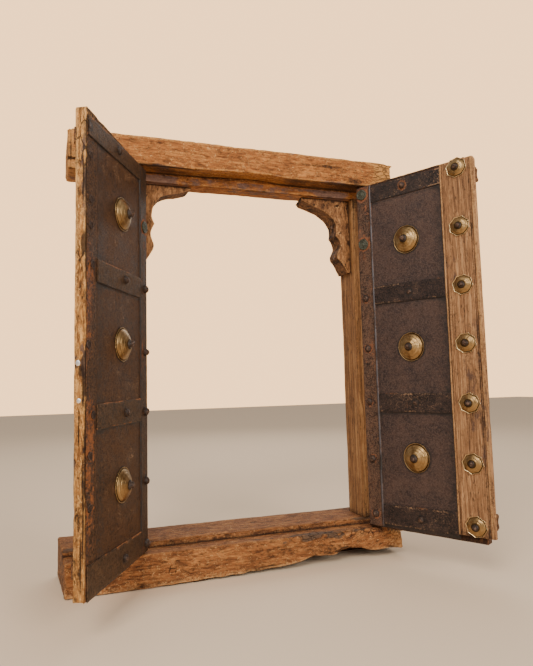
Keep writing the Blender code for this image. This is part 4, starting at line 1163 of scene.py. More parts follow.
def plate_grid(s_low, s_high, z_low, z_high, across, up):
    """Grid of a plate whose rims are functions of the other direction. Rows run up, columns
    across; the outermost ring lies almost on the next one, for a crisp rounded rim. Also gives
    each point's share of the way up and its distance to the rim."""
    u = np.concatenate([[0.0], np.linspace(0.004, 0.996, across), [1.0]])
    v = np.concatenate([[0.0], np.linspace(0.004, 0.996, up), [1.0]])
    vv, uu = np.meshgrid(v, u, indexing="ij")
    z0, z1 = (np.asarray(f(uu) if callable(f) else f) for f in (z_low, z_high))
    s0, s1 = (np.asarray(f(vv) if callable(f) else f) for f in (s_low, s_high))
    s = s0 + (s1 - s0) * uu
    z = z0 + (z1 - z0) * vv
    rim = np.minimum(np.minimum(uu, 1 - uu) * np.abs(s1 - s0), np.minimum(vv, 1 - vv) * np.abs(z1 - z0))
    return s, z, vv, rim


def plate(leaf, name, grid, n_back, n_front, marks, finish, lift=0.0):
    """A plate on the leaf: the front at n_front plus its own relief, drawn down at the rim by
    about a third of its thickness, the back at n_back."""
    s, z, _, rim = grid
    fall = 0.35 * (n_front - n_back) * bump_at(rim, 0, 0.5 * MM)
    front = np.stack([s, n_front + lift - fall, z], axis=-1)
    back = np.stack([s, np.full_like(s, n_back), z], axis=-1)
    marks["grain"] = np.stack([s, n_front + 0 * s, z], axis=-1)
    return slab(name, leaf.place(front), leaf.place(back), marks, finish)


def sheet(leaf):
    """Iron sheet of the panel, from the bottom of the plank to under the top strap."""
    node = leaf.name + "_sheet"
    low, high = leaf.extent(node)
    left = leaf is LEFT
    top = leaf.top - 10 * MM
    grid = plate_grid(low[0], high[0], low[2], top, 46, 190)
    s, z, _, _ = grid
    spot = face_spots(s, z)
    rust = 0.30 * np.exp(-np.abs(s - low[0]) / (3 * MM)) + 0.30 * peaks(spot, (14, 1, 10), 21)
    rust += 0.35 * np.exp(-(high[0] - s) / (2 * MM))
    for place in STRAP_LEVELS:
        rust += 0.30 * np.exp(-np.abs(z - leaf.bottom - place) / (12 * MM)) ** 3
    rubbed = 0.35 * np.clip(rough(spot, (50, 1, 9), 22) + 0.1, 0, 1) if left else (
        0.25 * peaks(spot, (12, 1, 12), 23))
    lift = dents(s, z, 14 if left else 15)
    for dent_s, dent_z in SHEET_DENTS[leaf.name]:
        away = np.hypot(s - dent_s * MM, z - dent_z * MM)
        lift -= 0.30 * MM * bump_at(away, 0, 3 * MM)
    dirt = 0.55 * np.exp(-np.abs(s - BEAD_MIDDLE - 3 * MM) / (2.5 * MM))
    dirt += (0.45 if left else 0.60) * soft_step(118 * MM, 148 * MM, s)
    for shape in STRAP_SHAPES[leaf.name]:
        # Painted shadow: a dark line just below each strap's lower edge; the faint line above it is dust.
        dirt += 0.85 * np.exp(-np.abs(z - (shape[0] - 2.0) * MM) / (2.2 * MM))
        dirt += 0.30 * np.exp(-np.abs(z - (shape[2] + 2.0) * MM) / (2.5 * MM))
    for number in (1, 2, 3):
        boss_s, boss_z, radius, _, _ = leaf.disc(f"{leaf.name}_boss_{number}")
        away = np.hypot(s - boss_s, z - boss_z) - radius
        # Painted shade: a dark ring round each boss.
        dirt += 0.75 * bump_at(away, 0, 2.6 * MM)
    piece = plate(leaf, node + "_iron", grid, low[1], high[1],
                  iron_marks(spot, rust=rust, rubbed=rubbed, dirt=dirt),
                  LEFT_IRON if left else RIGHT_IRON, lift)
    settle(piece, leaf.body, [node])


STRAP_LEVELS = (0.5415, 0.3710, 0.1980, 0.0195)
"""Height in metres of each strap's middle over the plank's foot."""
SHEET_DENTS = {"left": ((112.0, 560.0), (60.0, 300.0)), "right": ((71.5, 470.0), (120.0, 232.0))}
"""Two dents of each sheet in millimetres: place from the pivot, and height."""
NAIL_FACETS = 18
NAIL_SUNK = 0.5 * MM


def turned(leaf, name, s, z, base, radii, heights, around, finish, sway=None, marks=None,
           hollow_seed=0):
    """A turned piece on the face of the leaf: each ring has its radius and height, and sway
    changes the radius with the angle. Rings near the base are drawn together underneath."""
    angle = np.linspace(0.0, 2 * math.pi, around, endpoint=False)
    radius = np.asarray(radii)[:, None] * np.ones(around)
    height = np.asarray(heights)[:, None] * np.ones(around)
    if sway is not None:
        radius, height = sway(radius, height, angle[None, :])
    local = np.stack([s + radius * np.cos(angle), base + height, z + radius * np.sin(angle)], axis=-1)
    if hollow_seed:
        local[..., 1] += 0.10 * MM * rough(local, (160, 160, 160), hollow_seed) * (height > 0)
    bottom = local[:1].copy()
    bottom[..., 0] = s + (bottom[..., 0] - s) * 0.5
    bottom[..., 2] = z + (bottom[..., 2] - z) * 0.5
    local = np.concatenate([bottom, local])
    spread = {label: np.concatenate([value[:1], value]) for label, value in (marks or {}).items()}
    return shell(name, leaf.place(local), iron_marks(local, **spread), finish)


def nail(leaf, name, s, z, base, radius, height, seed, stepped=False):
    """A forged nail head: a dome, or a knob on a collar, squared off by a few hammer blows,
    which flatten the circle towards a polygon of random side lengths."""
    turn = np.linspace(0.0, math.pi / 2, 8)
    radii = np.concatenate([[radius], radius * np.cos(turn[:-1]) ** 0.8, [radius * 0.08]])
    heights = np.concatenate([[-NAIL_SUNK], height * np.sin(turn) ** 0.9])
    if stepped:
        radii = radius * np.array([1.0, 1.0, 0.94, 0.76, 0.64, 0.61, 0.54, 0.34, 0.08])
        heights = np.append(-NAIL_SUNK, height * np.array([0.20, 0.34, 0.42, 0.52, 0.78, 0.92, 1.0, 1.02]))
    generator = np.random.default_rng(seed)
    phases = generator.uniform(0, 2 * math.pi, 3)
    depths = generator.uniform(0.02, 0.07, 3)
    lean = generator.uniform(-0.12, 0.12, 2)

    def sway(ring, level, angle):
        ripple = sum(depth * np.cos(k * angle + phase)
                     for k, (phase, depth) in enumerate(zip(phases, depths), start=2))
        tilt = 1 + lean[0] * np.cos(angle) + lean[1] * np.sin(angle)
        return ring * (1 + ripple), np.where(level > 0, level * tilt, level)

    crown = np.clip(np.asarray(heights)[:, None] / height, 0, 1) * np.ones(NAIL_FACETS)
    # Painted light: the top of the head is lightened as a highlight and its flank darkened as shade; the rust
    # is real.
    marks = {"rubbed": 0.52 * crown ** 3, "rust": 0.25 * (1 - crown), "dirt": 0.6 * bump_at(crown, 0.45, 0.3)}
    piece = turned(leaf, name, s, z, base, radii, heights, NAIL_FACETS, NAIL_IRON, sway,
                   marks, hollow_seed=seed + 100)
    return settle(piece, leaf.body, [])


BEAD_MIDDLE = 20.2 * MM
BEAD_HALF = 1.6 * MM
BEAD_RISE = 1.6 * MM
LAP = 2.0 * MM
"""The hinge strip's bead: its place from the pivot, half width and height, and how far the strip
laps round the plank's edge."""
HINGE_NAILS = {"left": ((4.0, 422.5), (4.0, 330.5), (4.0, 245.4), (4.0, 148.8), (4.0, 63.1)),
               "right": ((4.4, 417.2), (4.8, 334.1), (3.4, 247.8), (5.2, 155.8), (7.0, 70.0))}
"""Each nail of the hinge strips in millimetres: place from the pivot, and height."""


def hinge_strip(leaf):
    """Iron strip along the pivot edge: flat, then a half-round bead near its inner edge, all
    pitted by rust. The strip wraps a little way round the plank's edge. The bead is flattened
    and dull where a noise along it is high, and rust stands in rings round washers and nails."""
    node = leaf.name + "_hinge_strip"
    left = leaf is LEFT
    low, high = leaf.extent(node)
    face = low[1] + STRIP_THICK
    inner = BEAD_MIDDLE + BEAD_HALF + 0.4 * MM
    u = np.unique(np.concatenate([np.linspace(low[0] - LAP, BEAD_MIDDLE - BEAD_HALF, 18),
                                  np.linspace(BEAD_MIDDLE - BEAD_HALF, inner, 14)]))
    v = np.linspace(low[2], high[2] - (3 * MM if left else 0.0), 230)
    z, s = np.meshgrid(v, u, indexing="ij")
    spot = face_spots(s, z)
    sway = 0.35 * MM * rough(spot, (0.001, 1, 9), 71)
    across = np.abs(s - BEAD_MIDDLE - sway) / BEAD_HALF
    bead = np.sqrt(np.maximum(0.0, 1 - across ** 2)) * BEAD_RISE
    broken = soft_step(-0.05, 0.30, rough(spot, (1, 1, 34), 72 if left else 73))
    broken = np.maximum(broken, 0.75 * left)
    pitted = 0.16 * MM * rough(spot, (120, 1, 120), 74) + 0.14 * MM * rough(spot, (30, 1, 30), 75)
    pitted -= 0.4 * MM * peaks(spot, (80, 1, 60), 76, -0.25)
    lift = bead * (1 - 0.5 * broken) + pitted * (across >= 1)
    rim = np.minimum(s - low[0] + LAP, inner - s)
    lift -= 0.4 * MM * bump_at(rim, 0, 0.9 * MM)
    over = np.clip((low[0] + 0.5 * MM - s) / (LAP + 0.5 * MM), 0.0, 1.0)
    front = np.stack([s, face + lift - LAP_DEPTH * (1 - np.sqrt(1 - over ** 2)), z], axis=-1)
    back = np.stack([np.maximum(s, low[0] - LAP + 0.6 * MM), low[1] - LAP_DEPTH * over ** 2, z],
                    axis=-1)
    on_bead = across < 0.95
    bits = soft_step(0.0, 0.35, rough(spot, (1, 1, 60), 78)) if left else 1.0
    rust = 0.22 + 0.85 * peaks(spot, (60, 1, 16), 77) + 0.5 * np.exp(-rim / (1.6 * MM))
    for washer in (f"{leaf.name}_washer_{number}" for number in WASHER_NUMBERS):
        if washer in frame["nodes"]:
            disc_s, disc_z, radius, _, _ = leaf.disc(washer)
            away = np.hypot(s - disc_s, z - disc_z) - radius
            rust += 0.9 * bump_at(away, 1.5 * MM, 1.5 * MM)
    ring = np.zeros_like(s)
    for nail_s, nail_z in HINGE_NAILS[leaf.name]:
        away = np.hypot(s - nail_s * MM, z - nail_z * MM)
        rust += (0.3 if left else 0.9) * bump_at(away, 7.0 * MM, 0.8 * MM)
        ring += bump_at(away, 6.0 * MM, 0.7 * MM)
    rust += 0.35 * bump_at(z, leaf.top - 20 * MM, 40 * MM) * (not left)
    rust += 0.7 * peaks(spot, (190, 1, 120), 70, -0.10)
    bead_rust = (0.9 * (1 - bits) * bits * 4 if left else 0.30) * broken
    rust = np.where(on_bead, bead_rust, 0.75 * rust)
    rubbed = np.where(on_bead, 0.95 - (0.75 if left else 0.35) * broken, 0.10)
    # Painted shade: dark at the foot of the bead on both sides, and in a ring round each nail head.
    dirt = (0.95 if left else 0.6) * bump_at(across, 1.3, 0.5)
    dirt += (0.35 * broken + 1.0 * (1 - bits)) * on_bead
    dirt += 0.9 * peaks(spot, (90, 1, 40), 79) + 0.7 * ring
    piece = slab(node + "_iron", leaf.place(front), leaf.place(back),
                 iron_marks(spot, rust=rust, rubbed=rubbed, dirt=dirt),
                 LEFT_HINGE_IRON if left else HINGE_IRON)
    settle(piece, leaf.body, [node])
    for number, (nail_s, nail_z) in enumerate(HINGE_NAILS[leaf.name]):
        nail(leaf, f"{node}_nail_{number + 1}", nail_s * MM, nail_z * MM, face,
             HINGE_NAIL_RADIUS, HINGE_NAIL_RISE * (1.0 if left else 0.62), 200 + number)


STRIP_THICK = 1.4 * MM
LAP_DEPTH = 6 * MM
HINGE_NAIL_RADIUS = 5.5 * MM
HINGE_NAIL_RISE = 6.0 * MM
STRAP_SHAPES = {
    "left": ((580.6, 576.6, 604.2, 601.4), (406.8, 405.6, 436.0, 434.0),
             (232.6, 231.6, 264.8, 262.0), (50.6, 48.2, 83.0, 87.0)),
    "right": ((576.6, 577.4, 604.6, 603.4), (405.0, 404.0, 435.0, 434.4),
              (231.0, 230.2, 261.4, 260.6), (55.4, 55.0, 86.6, 89.8))}
"""Height in millimetres of each strap's lower edge at its pivot end and at its free end, then of
its upper edge at the same two."""
STRAP_NAILS = {
    "left": (((96.0, 592.5), (178.0, 589.0)), ((74.8, 423.0),), ((73.5, 247.6),), ((79.0, 64.8),)),
    "right": (((79.7, 591.4),), ((83.2, 418.8),), ((84.9, 246.2),), ((85.2, 71.0),))}
"""The nails of each strap from the top one down, in the same way."""
STRAP_NAIL_RADIUS = 5.3 * MM


def strap(leaf, number):
    """Iron strap across the panel, between two slightly wavering edges. It is rusty at its rims,
    rubbed just inside them, and has painted shade along its lower edge, at its rims and round its
    nails. The right leaf's top strap flakes at its free end and has a ring of rust round its nail."""
    node = f"{leaf.name}_strap_{number}"
    low, high = leaf.extent(node)
    start_low, end_low, start_high, end_high = (
        value * MM for value in STRAP_SHAPES[leaf.name][number - 1])
    left = leaf is LEFT
    seed = 300 + 7 * number + (0 if left else 3)

    def edge(first, last, offset):
        def line(share):
            spot = np.stack([share, 0 * share, 0 * share], axis=-1)
            return (first + (last - first) * share + 0.5 * MM * rough(spot, (5, 1, 1), seed + offset)
                    + 0.22 * MM * rough(spot, (34, 1, 1), seed + offset + 1))
        return line

    grid = plate_grid(low[0], high[0], edge(start_low, end_low, 0), edge(start_high, end_high, 2),
                      70, 18)
    s, z, vv, rim = grid
    spot = face_spots(s, z)
    lift = 0.14 * MM * rough(spot, (60, 1, 60), seed) + 0.08 * MM * rough(spot, (160, 1, 160), seed + 4)
    lift += 0.25 * MM * bump_at(rim, 0, 2.2 * MM) * rough(spot, (25, 1, 25), seed + 6)
    face = low[1] + STRAP_THICK
    rust = 0.60 * np.exp(-rim / ((1.2 if left else 2.2) * MM))
    rust += 0.35 * peaks(spot, (24, 1, 60), seed + 8)
    rust *= 0.55 + 0.9 * peaks(spot, (30, 1, 30), seed + 10)
    rust += 0.30 * bump_at(vv, 0.45, 0.3) * bump_at(s, 80 * MM, 40 * MM) * (number in (2, 3))
    rubbed = 0.12 + 0.35 * peaks(spot, (12, 1, 12), seed + 9)
    rubbed += ((0.35 if left else 0.45) * bump_at(rim, 1.4 * MM, 1.0 * MM)
               * soft_step(-0.15, 0.25, rough(spot, (40, 1, 40), seed + 12)))
    marks = iron_marks(spot, rust=rust * (0.9 if left else 1.0), rubbed=rubbed)
    height = np.abs(start_high - start_low)
    if left:
        rims = bump_at((1 - vv) * height, 0.8 * MM, 1.1 * MM)
        rims += 0.8 * bump_at(vv * height, 2.2 * MM, 0.8 * MM)
        patchy = soft_step(-0.05, 0.25, rough(spot, (45, 1, 45), seed + 14))
        marks["rust"] = np.clip(marks["rust"] + 0.7 * rims * patchy, 0, 1)
    # Painted shade: dark along the lower edge, a thin dark outline at the rims, and a dark ring just outside
    # each nail head.
    dirt = 0.95 * np.exp(-(vv * height) / (0.8 * MM))
    dirt += (0.15 if left else 0.45) * np.exp(-rim / (0.7 * MM))
    for nail_s, nail_z in STRAP_NAILS[leaf.name][number - 1]:
        away = np.hypot(s - nail_s * MM, z - nail_z * MM)
        dirt += 0.9 * bump_at(away, 5.6 * MM, 1.5 * MM) * (left or number > 1)
    flaking = not left and number == 1
    if flaking:
        dirt += 0.35 * soft_step(125 * MM, 105 * MM, s)
    marks["dirt"] = np.clip(dirt, 0, 1)
    if flaking:
        flakes = soft_step(128 * MM, 146 * MM, s) * soft_step(0.1, 0.9, vv)
        marks["torn"] = np.clip(0.50 * flakes * (rough(spot, (120, 1, 90), 19) + 0.4), 0, 1)
        marks["rubbed"] = np.clip(marks["rubbed"] + 0.12 * soft_step(100 * MM, 150 * MM, s), 0, 1)
        ragged = away + 1.2 * MM * rough(spot, (150, 1, 150), 17)
        marks["rust"] = np.clip(marks["rust"] + 1.3 * (ragged < 8.2 * MM), 0, 1)
    piece = plate(leaf, node + "_iron", grid, low[1], face, marks,
                  LEFT_STRAP_IRON if left else RIGHT_STRAP_IRON, lift)
    settle(piece, leaf.body, [node])
    for count, (nail_s, nail_z) in enumerate(STRAP_NAILS[leaf.name][number - 1]):
        flat = count > 0 or (not left and number in (2, 3))
        low_head = BEATEN_HEAD if left and count > 0 else LOW_HEAD
        nail(leaf, f"{node}_nail_{count + 1}", nail_s * MM, nail_z * MM, face,
             STRAP_NAIL_RADIUS * (0.80 if flat else 1.0), low_head if flat else ROUND_HEAD,
             seed + count)


STRAP_THICK = 1.2 * MM
BEATEN_HEAD = 0.4 * MM
LOW_HEAD = 1.5 * MM
ROUND_HEAD = 4.8 * MM
EDGE_NAILS = ((173.5, 554.8), (172.8, 501.8), (172.6, 470.5), (168.0, 425.0), (177.5, 330.2),
              (165.0, 249.8), (172.8, 204.2), (173.4, 147.0), (168.1, 66.0))
"""The edge strip's nails, in the same way."""


def edge_strip():
    """Iron strip along the left leaf's meeting edge. Lower down it is rusted through: its torn
    mark grows, so that patches of bare wood show, and the surface sinks there. Its nails have
    low heads with a raised ring."""
    leaf = LEFT
    low, high = leaf.extent("left_edge_strip")
    grid = plate_grid(low[0], high[0], low[2] - 2 * MM, high[2] - 2 * MM, 14, 230)
    s, z, _, rim = grid
    spot = face_spots(s, z)
    gone = soft_step(0.53, 0.40, z) * 0.50
    gone += 0.34 * rough(spot, (46, 1, 12), 51) * soft_step(0.56, 0.45, z)
    gone += 0.16 * soft_step(163 * MM, 178 * MM, s) * soft_step(0.5, 0.42, z)
    gone -= 0.25 * bump_at(z, 0.29, 0.035) + 0.45 * soft_step(0.10, 0.075, z)
    gone *= soft_step(low[0] + 1 * MM, low[0] + 6 * MM, s)
    lift = 0.12 * MM * rough(spot, (90, 1, 60), 53) - 0.40 * MM * soft_step(0.4, 0.7, gone)
    rust = 0.20 + 0.5 * np.exp(-rim / (1.0 * MM)) + 0.5 * peaks(spot, (60, 1, 14), 54)
    marks = iron_marks(spot, rust=0.7 * rust, torn=gone, rubbed=0.15)
    piece = plate(leaf, "left_edge_strip_iron", grid, low[1], high[1], marks, EDGE_IRON, lift)
    settle(piece, leaf.body, ["left_edge_strip"])
    share = np.array([1.0, 1.0, 0.92, 0.78, 0.62, 0.48, 0.34, 0.20, 0.06])
    rise = np.array([-0.5, 0.5, 0.95, 1.0, 0.45, 0.25, 0.40, 0.50, 0.52]) * MM
    ring_dirt = 0.95 * bump_at(share, 0.55, 0.12) + 0.5 * (share > 0.97)
    marks = {"dirt": ring_dirt[:, None] * np.ones(24),
             "rubbed": 0.55 * bump_at(share, 0.86, 0.12)[:, None] * np.ones(24)}
    for number, (nail_s, nail_z) in enumerate(EDGE_NAILS):
        head = turned(leaf, f"left_edge_nail_{number + 1}", nail_s * MM, nail_z * MM, high[1],
                      share * EDGE_HEAD, rise, 24, NAIL_IRON, marks=marks, hollow_seed=400 + number)
        settle(head, leaf.body, [])


EDGE_HEAD = 5.0 * MM


def washers(leaf):
    """Flat copper washers on the hinge strip: a disc with a turned line, a round rivet head in
    its middle, and a rim worn out of round."""
    share = np.array([1.0, 1.0, 0.97, 0.90, 0.80, 0.72, 0.66, 0.60, 0.50, 0.40, 0.34, 0.28,
                      0.20, 0.12, 0.05])
    rise = np.array([0.0, 0.6, 0.85, 1.0, 1.0, 0.92, 0.66, 0.92, 0.98, 0.96, 0.80, 1.05,
                     1.25, 1.35, 1.38])
    recess = np.interp(share, [0.3, 0.36, 0.6, 0.66, 0.72, 1.0], [0, 0.8, 0.1, 0.9, 0.2, 0.5])
    marks = {"rubbed": np.ones((15, 40)) * 0.35, "dirt": 0.7 * recess[:, None] * np.ones(40)}
    for number in WASHER_NUMBERS:
        node = f"{leaf.name}_washer_{number}"
        if node not in frame["nodes"]:
            continue
        s, z, radius, base, height = leaf.disc(node)

        def sway(ring, level, angle, seed=number):
            oval = 1 + 0.05 * np.cos(2 * angle + seed) + 0.025 * np.cos(5 * angle)
            return ring * oval, level

        piece = turned(leaf, node + "_disc", s, z, base, share * radius, rise * height, 40,
                       GREEN_COPPER, sway, marks, 21 + number)
        settle(piece, leaf.body, [node])


def boss_height(share):
    """Height of a boss, as a share, from rim (share of radius 1) to crown: a thin lip, a groove,
    then a full dome with two turned grooves and fine turning lines."""
    dome = np.clip(1 - (share / 0.93) ** 1.75, 0.0, 1.0) ** 0.88
    level = 0.09 + 0.91 * dome
    for centre, width, depth in ((0.92, 0.022, 0.09), (0.72, 0.016, 0.04), (0.52, 0.014, 0.035)):
        level = level - depth * bump_at(share, centre, width)
    return level + 0.006 * np.cos(share * 2 * math.pi * TURNING_LINES)


TURNING_LINES = 15


def bosses(leaf):
    """Three raised brass bosses: a beaten dome with turned grooves and a rim nicked all round,
    each with a forged nail through its crown. Both stand a little higher than in the solids."""
    around, rings = 120, 64
    for number in (1, 2, 3):
        node = f"{leaf.name}_boss_{number}"
        s, z, radius, base, height = leaf.disc(node)
        share = np.concatenate([[1.0], np.linspace(1.0, 0.12, rings) ** 0.9])
        level = np.concatenate([[0.0], boss_height(share[1:]) * (height + BOSS_EXTRA)])
        oval = 1.08 if leaf is LEFT else 0.95
        nicks, bite = (30 + number, 0.050) if leaf is LEFT else (52 + 3 * number, 0.022)
        seed = 31 * number + (5 if leaf is LEFT else 0)

        def sway(ring, rise, angle, share=share, nicks=nicks, bite=bite, seed=seed, oval=oval):
            at_rim = soft_step(0.88, 1.0, share)[:, None]
            line = np.stack([np.cos(angle), np.sin(angle), 0 * angle], axis=-1)
            bent = rough(line, (2.0, 2.0, 1.0), seed)
            tooth = np.maximum(0.0, np.cos(nicks * angle + 2.5 * bent)) ** 3
            ragged = peaks(line, (9.0, 9.0, 1.0), seed + 1)
            ring = ring * (1 - at_rim * (bite * tooth + 0.03 * ragged) + 0.008 * bent)
            ring = ring * (1 + (oval - 1) * np.cos(angle) ** 2)
            return ring, rise * (1 + 0.05 * bent) + 0.15 * MM * at_rim * ragged * (rise > 0)

        recess = (1.1 * bump_at(share, 0.92, 0.035) + 0.35 * bump_at(share, 0.72, 0.022)
                  + 0.35 * bump_at(share, 0.52, 0.02) + 1.0 * soft_step(0.36, 0.26, share))
        rubbed = 0.95 * bump_at(share, 0.98, 0.028) + 0.35 * bump_at(share, 0.80, 0.05) + (
            0.35 * bump_at(share, 0.62, 0.05) + 0.35 * bump_at(share, 0.44, 0.06))
        angle = np.linspace(0.0, 2 * math.pi, around, endpoint=False)
        between = 0.45 + 0.55 * np.cos(nicks * angle) * soft_step(0.88, 1.0, share)[:, None]
        marks = {"recess": recess[:, None] * np.ones(around),
                 "rubbed": rubbed[:, None] * between + 0.25 * (share < 0.85)[:, None]}
        piece = turned(leaf, node + "_dome", s, z, base, share * radius, level, around,
                       OLD_BRASS, sway, marks, 44 + number)
        settle(piece, leaf.body, [node])
        nail_node = f"{leaf.name}_boss_nail_{number}"
        _, _, wide, foot, tall = leaf.disc(nail_node)
        head = nail(leaf, nail_node + "_head", s, z, foot - 0.5 * MM, wide + 0.4 * MM,
                    tall + 1.0 * MM + BOSS_EXTRA, 500 + number, stepped=True)
        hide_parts(nail_node)


BOSS_EXTRA = 2.6 * MM
FLOWER_EXTRA = 1.6 * MM
PETALS = 8


def flowers():
    """Seven brass flowers on the meeting strip: a thin upturned rim with eight points, whose
    radius falls between them as |sin 4a| grows, and a stepped dome, each with a nail. All stand
    a little higher than in the solids."""
    leaf = RIGHT
    around, rings = 128, 34
    for number in range(1, 8):
        node = f"right_flower_{number}"
        s, z, radius, base, height = leaf.disc(node)
        share = np.concatenate([[1.0], np.linspace(1.0, 0.12, rings)])
        level = np.interp(share, [0.12, 0.34, 0.38, 0.46, 0.50, 0.64, 0.68, 0.84, 0.90, 0.95, 1.0],
                          [1.10, 1.08, 1.00, 0.97, 0.84, 0.74, 0.62, 0.32, 0.14, 0.18, 0.28])
        level = level * (height + FLOWER_EXTRA)
        level[0] = 0.0
        seed = 60 + 3 * number
        turn = np.random.default_rng(seed).uniform(0, 0.35)

        def sway(ring, rise, angle, share=share, seed=seed, turn=turn):
            fade = soft_step(0.72, 0.98, share)[:, None]
            wave = 1 - np.abs(np.sin(PETALS / 2 * (angle + turn))) ** 0.8
            line = np.stack([np.cos(angle), np.sin(angle), 0 * angle], axis=-1)
            bent = rough(line, (2.4, 2.4, 1.0), seed)
            nicked = peaks(line, (11.0, 11.0, 1.0), seed + 1)
            ring = ring * (1.07 - fade * (0.10 * (1 - wave) + 0.03 * nicked - 0.02 * bent))
            ring = ring * (1 + 0.04 * np.cos(angle) ** 2)
            crease = 0.20 * MM * soft_step(0.7, 0.95, share)[:, None] * (1 - wave) ** 2
            return ring, np.where(rise > 0, rise * (1 + 0.08 * bent) - crease, rise)

        recess = (1.2 * bump_at(share, 0.87, 0.05) + 0.5 * bump_at(share, 0.66, 0.03)
                  + 0.5 * bump_at(share, 0.49, 0.025) + 1.1 * soft_step(0.44, 0.36, share))
        rubbed = 1.0 * bump_at(share, 0.985, 0.05) + 0.4 * bump_at(share, 0.57, 0.04)
        marks = {"recess": recess[:, None] * np.ones(around),
                 "rubbed": rubbed[:, None] * np.ones(around)}
        piece = turned(leaf, node + "_petals", s, z, base, share * radius, level, around,
                       OLD_BRASS, sway, marks, 70 + number)
        settle(piece, leaf.body, [node])
        nail_node = f"right_flower_nail_{number}"
        _, _, wide, foot, tall = leaf.disc(nail_node)
        head = nail(leaf, nail_node + "_head", s, z, foot - 0.4 * MM, wide + 1.1 * MM,
                    tall + 2.0 * MM + FLOWER_EXTRA, 600 + number, stepped=True)
        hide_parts(nail_node)


def meeting_strip():
    """Moulded strip of the right leaf: flat face, a groove along each side, two on the outer
    one, and a rounded nose, carried up Z. Grooves are bell curves pressed into the face."""
    leaf = RIGHT
    node = "right_astragal"
    low, high = leaf.extent(node)
    base, face = low[1], high[1]
    meeting = leaf.extent("right_board")[1][0] + 0.3 * MM
    relief = base + 3.0 * MM

    def corners_at(places):
        outer = high[0] - soft_step(high[2] - 5 * MM, high[2], places) * 2.4 * MM
        return corner_rows(places, (low[0], base), (meeting, base), (meeting, relief),
                           (outer, relief), (outer, face), (low[0], face))

    part = bar(corners_at, np.array([0.8, 0.3, 0.3, 2.2, 2.9, 1.3]) * MM, (16, 3, 5, 2, 74, 8),
               (low[2], high[2]), 2.6 * MM, 0.9 * MM, ((low[0] + meeting) / 2, (base + face) / 2),
               caps=6)
    local = np.roll(part["points"], -1, axis=-1)
    s, n, z = axes(local)
    grain = np.stack([z, s, n], axis=-1)
    on_face = soft_step(face - 0.8 * MM, face - 0.1 * MM, n)
    groove = np.zeros_like(s)
    sway = 0.25 * MM * rough(grain, (8, 0.001, 0.001), 33)
    for centre, depth in ((low[0] + 3.4 * MM, 1.0), (high[0] - 9.6 * MM, 1.0),
                          (high[0] - 7.4 * MM, 0.85), (low[0] + 11.5 * MM, 0.28)):
        groove += depth * bump_at(s, centre + sway, 0.6 * MM)
    push = -1.2 * MM * np.minimum(groove, 1.0) * on_face
    push += 0.16 * MM * rough(grain, (5, 120, 120), 34) + 0.13 * MM * rough(grain, (18, 420, 420), 35)
    chips = peaks(grain, (26, 70, 70), 36)
    rim = bump_at(part["edge"], 0, 1.8 * MM)
    push -= rim * 1.3 * MM * chips
    local = local + outward(local) * push[..., None]
    worn = 0.40 * rim + 0.5 * bump_at(s, high[0] - 5 * MM, 1.6 * MM) * on_face + 0.30 * on_face * (
        bump_at(s, low[0] + 1.5 * MM, 1.2 * MM) + bump_at(s, low[0] + 6 * MM, 1.2 * MM))
    # Painted shade: darker in the grooves and on the parts more than 4 mm below the face.
    grime = 0.75 * np.minimum(groove, 1.0) * on_face + 0.12 * (n < face - 4 * MM)
    streak = np.clip(rough(grain, (5, 90, 90), 38) * 1.5, 0, 1)
    smudge = np.clip(rough(grain, (16, 40, 40), 39, 4) + 0.05, 0, 1)
    grime += (0.30 * streak + 0.75 * smudge) * on_face + 0.4 * bump_at(z, low[2], 10 * MM)
    for level in FLOWER_LEVELS:
        below = soft_step(24 * MM, 12 * MM, np.abs(z - leaf.bottom - level + 8 * MM))
        grime += 0.22 * below * bump_at(s, 171 * MM, 12 * MM)
    grey = 0.5 * on_face * soft_step(-0.1, 0.4, rough(grain, (9, 45, 45), 40, 4))
    piece = shell("right_meeting_strip", leaf.place(local),
                  wood_marks(grain, worn=worn, grey=grey, grime=grime, cracks=0.10), STRIP_WOOD)
    settle(piece, leaf.body, [node])


FLOWER_LEVELS = (0.5435, 0.4550, 0.3680, 0.2830, 0.1970, 0.1120, 0.0255)
"""Height in metres of each flower's middle over the plank's foot."""


def battens(leaf):
    """Battens across the back of a leaf: oblongs carried along s, with rounded and worn ends,
    and the clinched tips of the nails that hold them."""
    for end_name in ("top", "bottom"):
        node = f"{leaf.name}_batten_{end_name}"
        low, high = leaf.extent(node)

        def corners_at(places, low=low, high=high):
            return corner_rows(places, (low[1], low[2]), (high[1], low[2]), (high[1], high[2]),
                               (low[1], high[2]))

        part = bar(corners_at, np.array([1.6, 0.6, 0.6, 1.6]) * MM, (8, 12, 8, 12),
                   (low[0], high[0] + BATTEN_NOSE), 2.6 * MM, 4.5 * MM,
                   ((low[1] + high[1]) / 2, (low[2] + high[2]) / 2), caps=6)
        local = part["points"]
        grain = local.copy()
        chips = peaks(grain, (40, 80, 80), 58, 0.1)
        rim = bump_at(part["edge"], 0, 1.8 * MM)
        push = 0.2 * MM * rough(grain, (12, 160, 160), 59) - rim * 1.2 * MM * chips
        push = np.where(local[..., 1] > high[1] - 1 * MM, np.minimum(push, 0.0), push)
        local = local + outward(local) * push[..., None]
        piece = shell(node + "_bar", leaf.place(local),
                      wood_marks(grain, worn=0.5 * rim, grime=0.25, cracks=0.15), BORDER_WOOD)
        settle(piece, leaf.body, [node])
        for count, share in enumerate((0.25, 0.75)):
            tip_s = low[0] + share * (high[0] - low[0])
            back_nail(leaf, f"{node}_nail_{count + 1}", tip_s, (low[2] + high[2]) / 2, low[1],
                      900 + count)


BATTEN_NOSE = 2 * MM


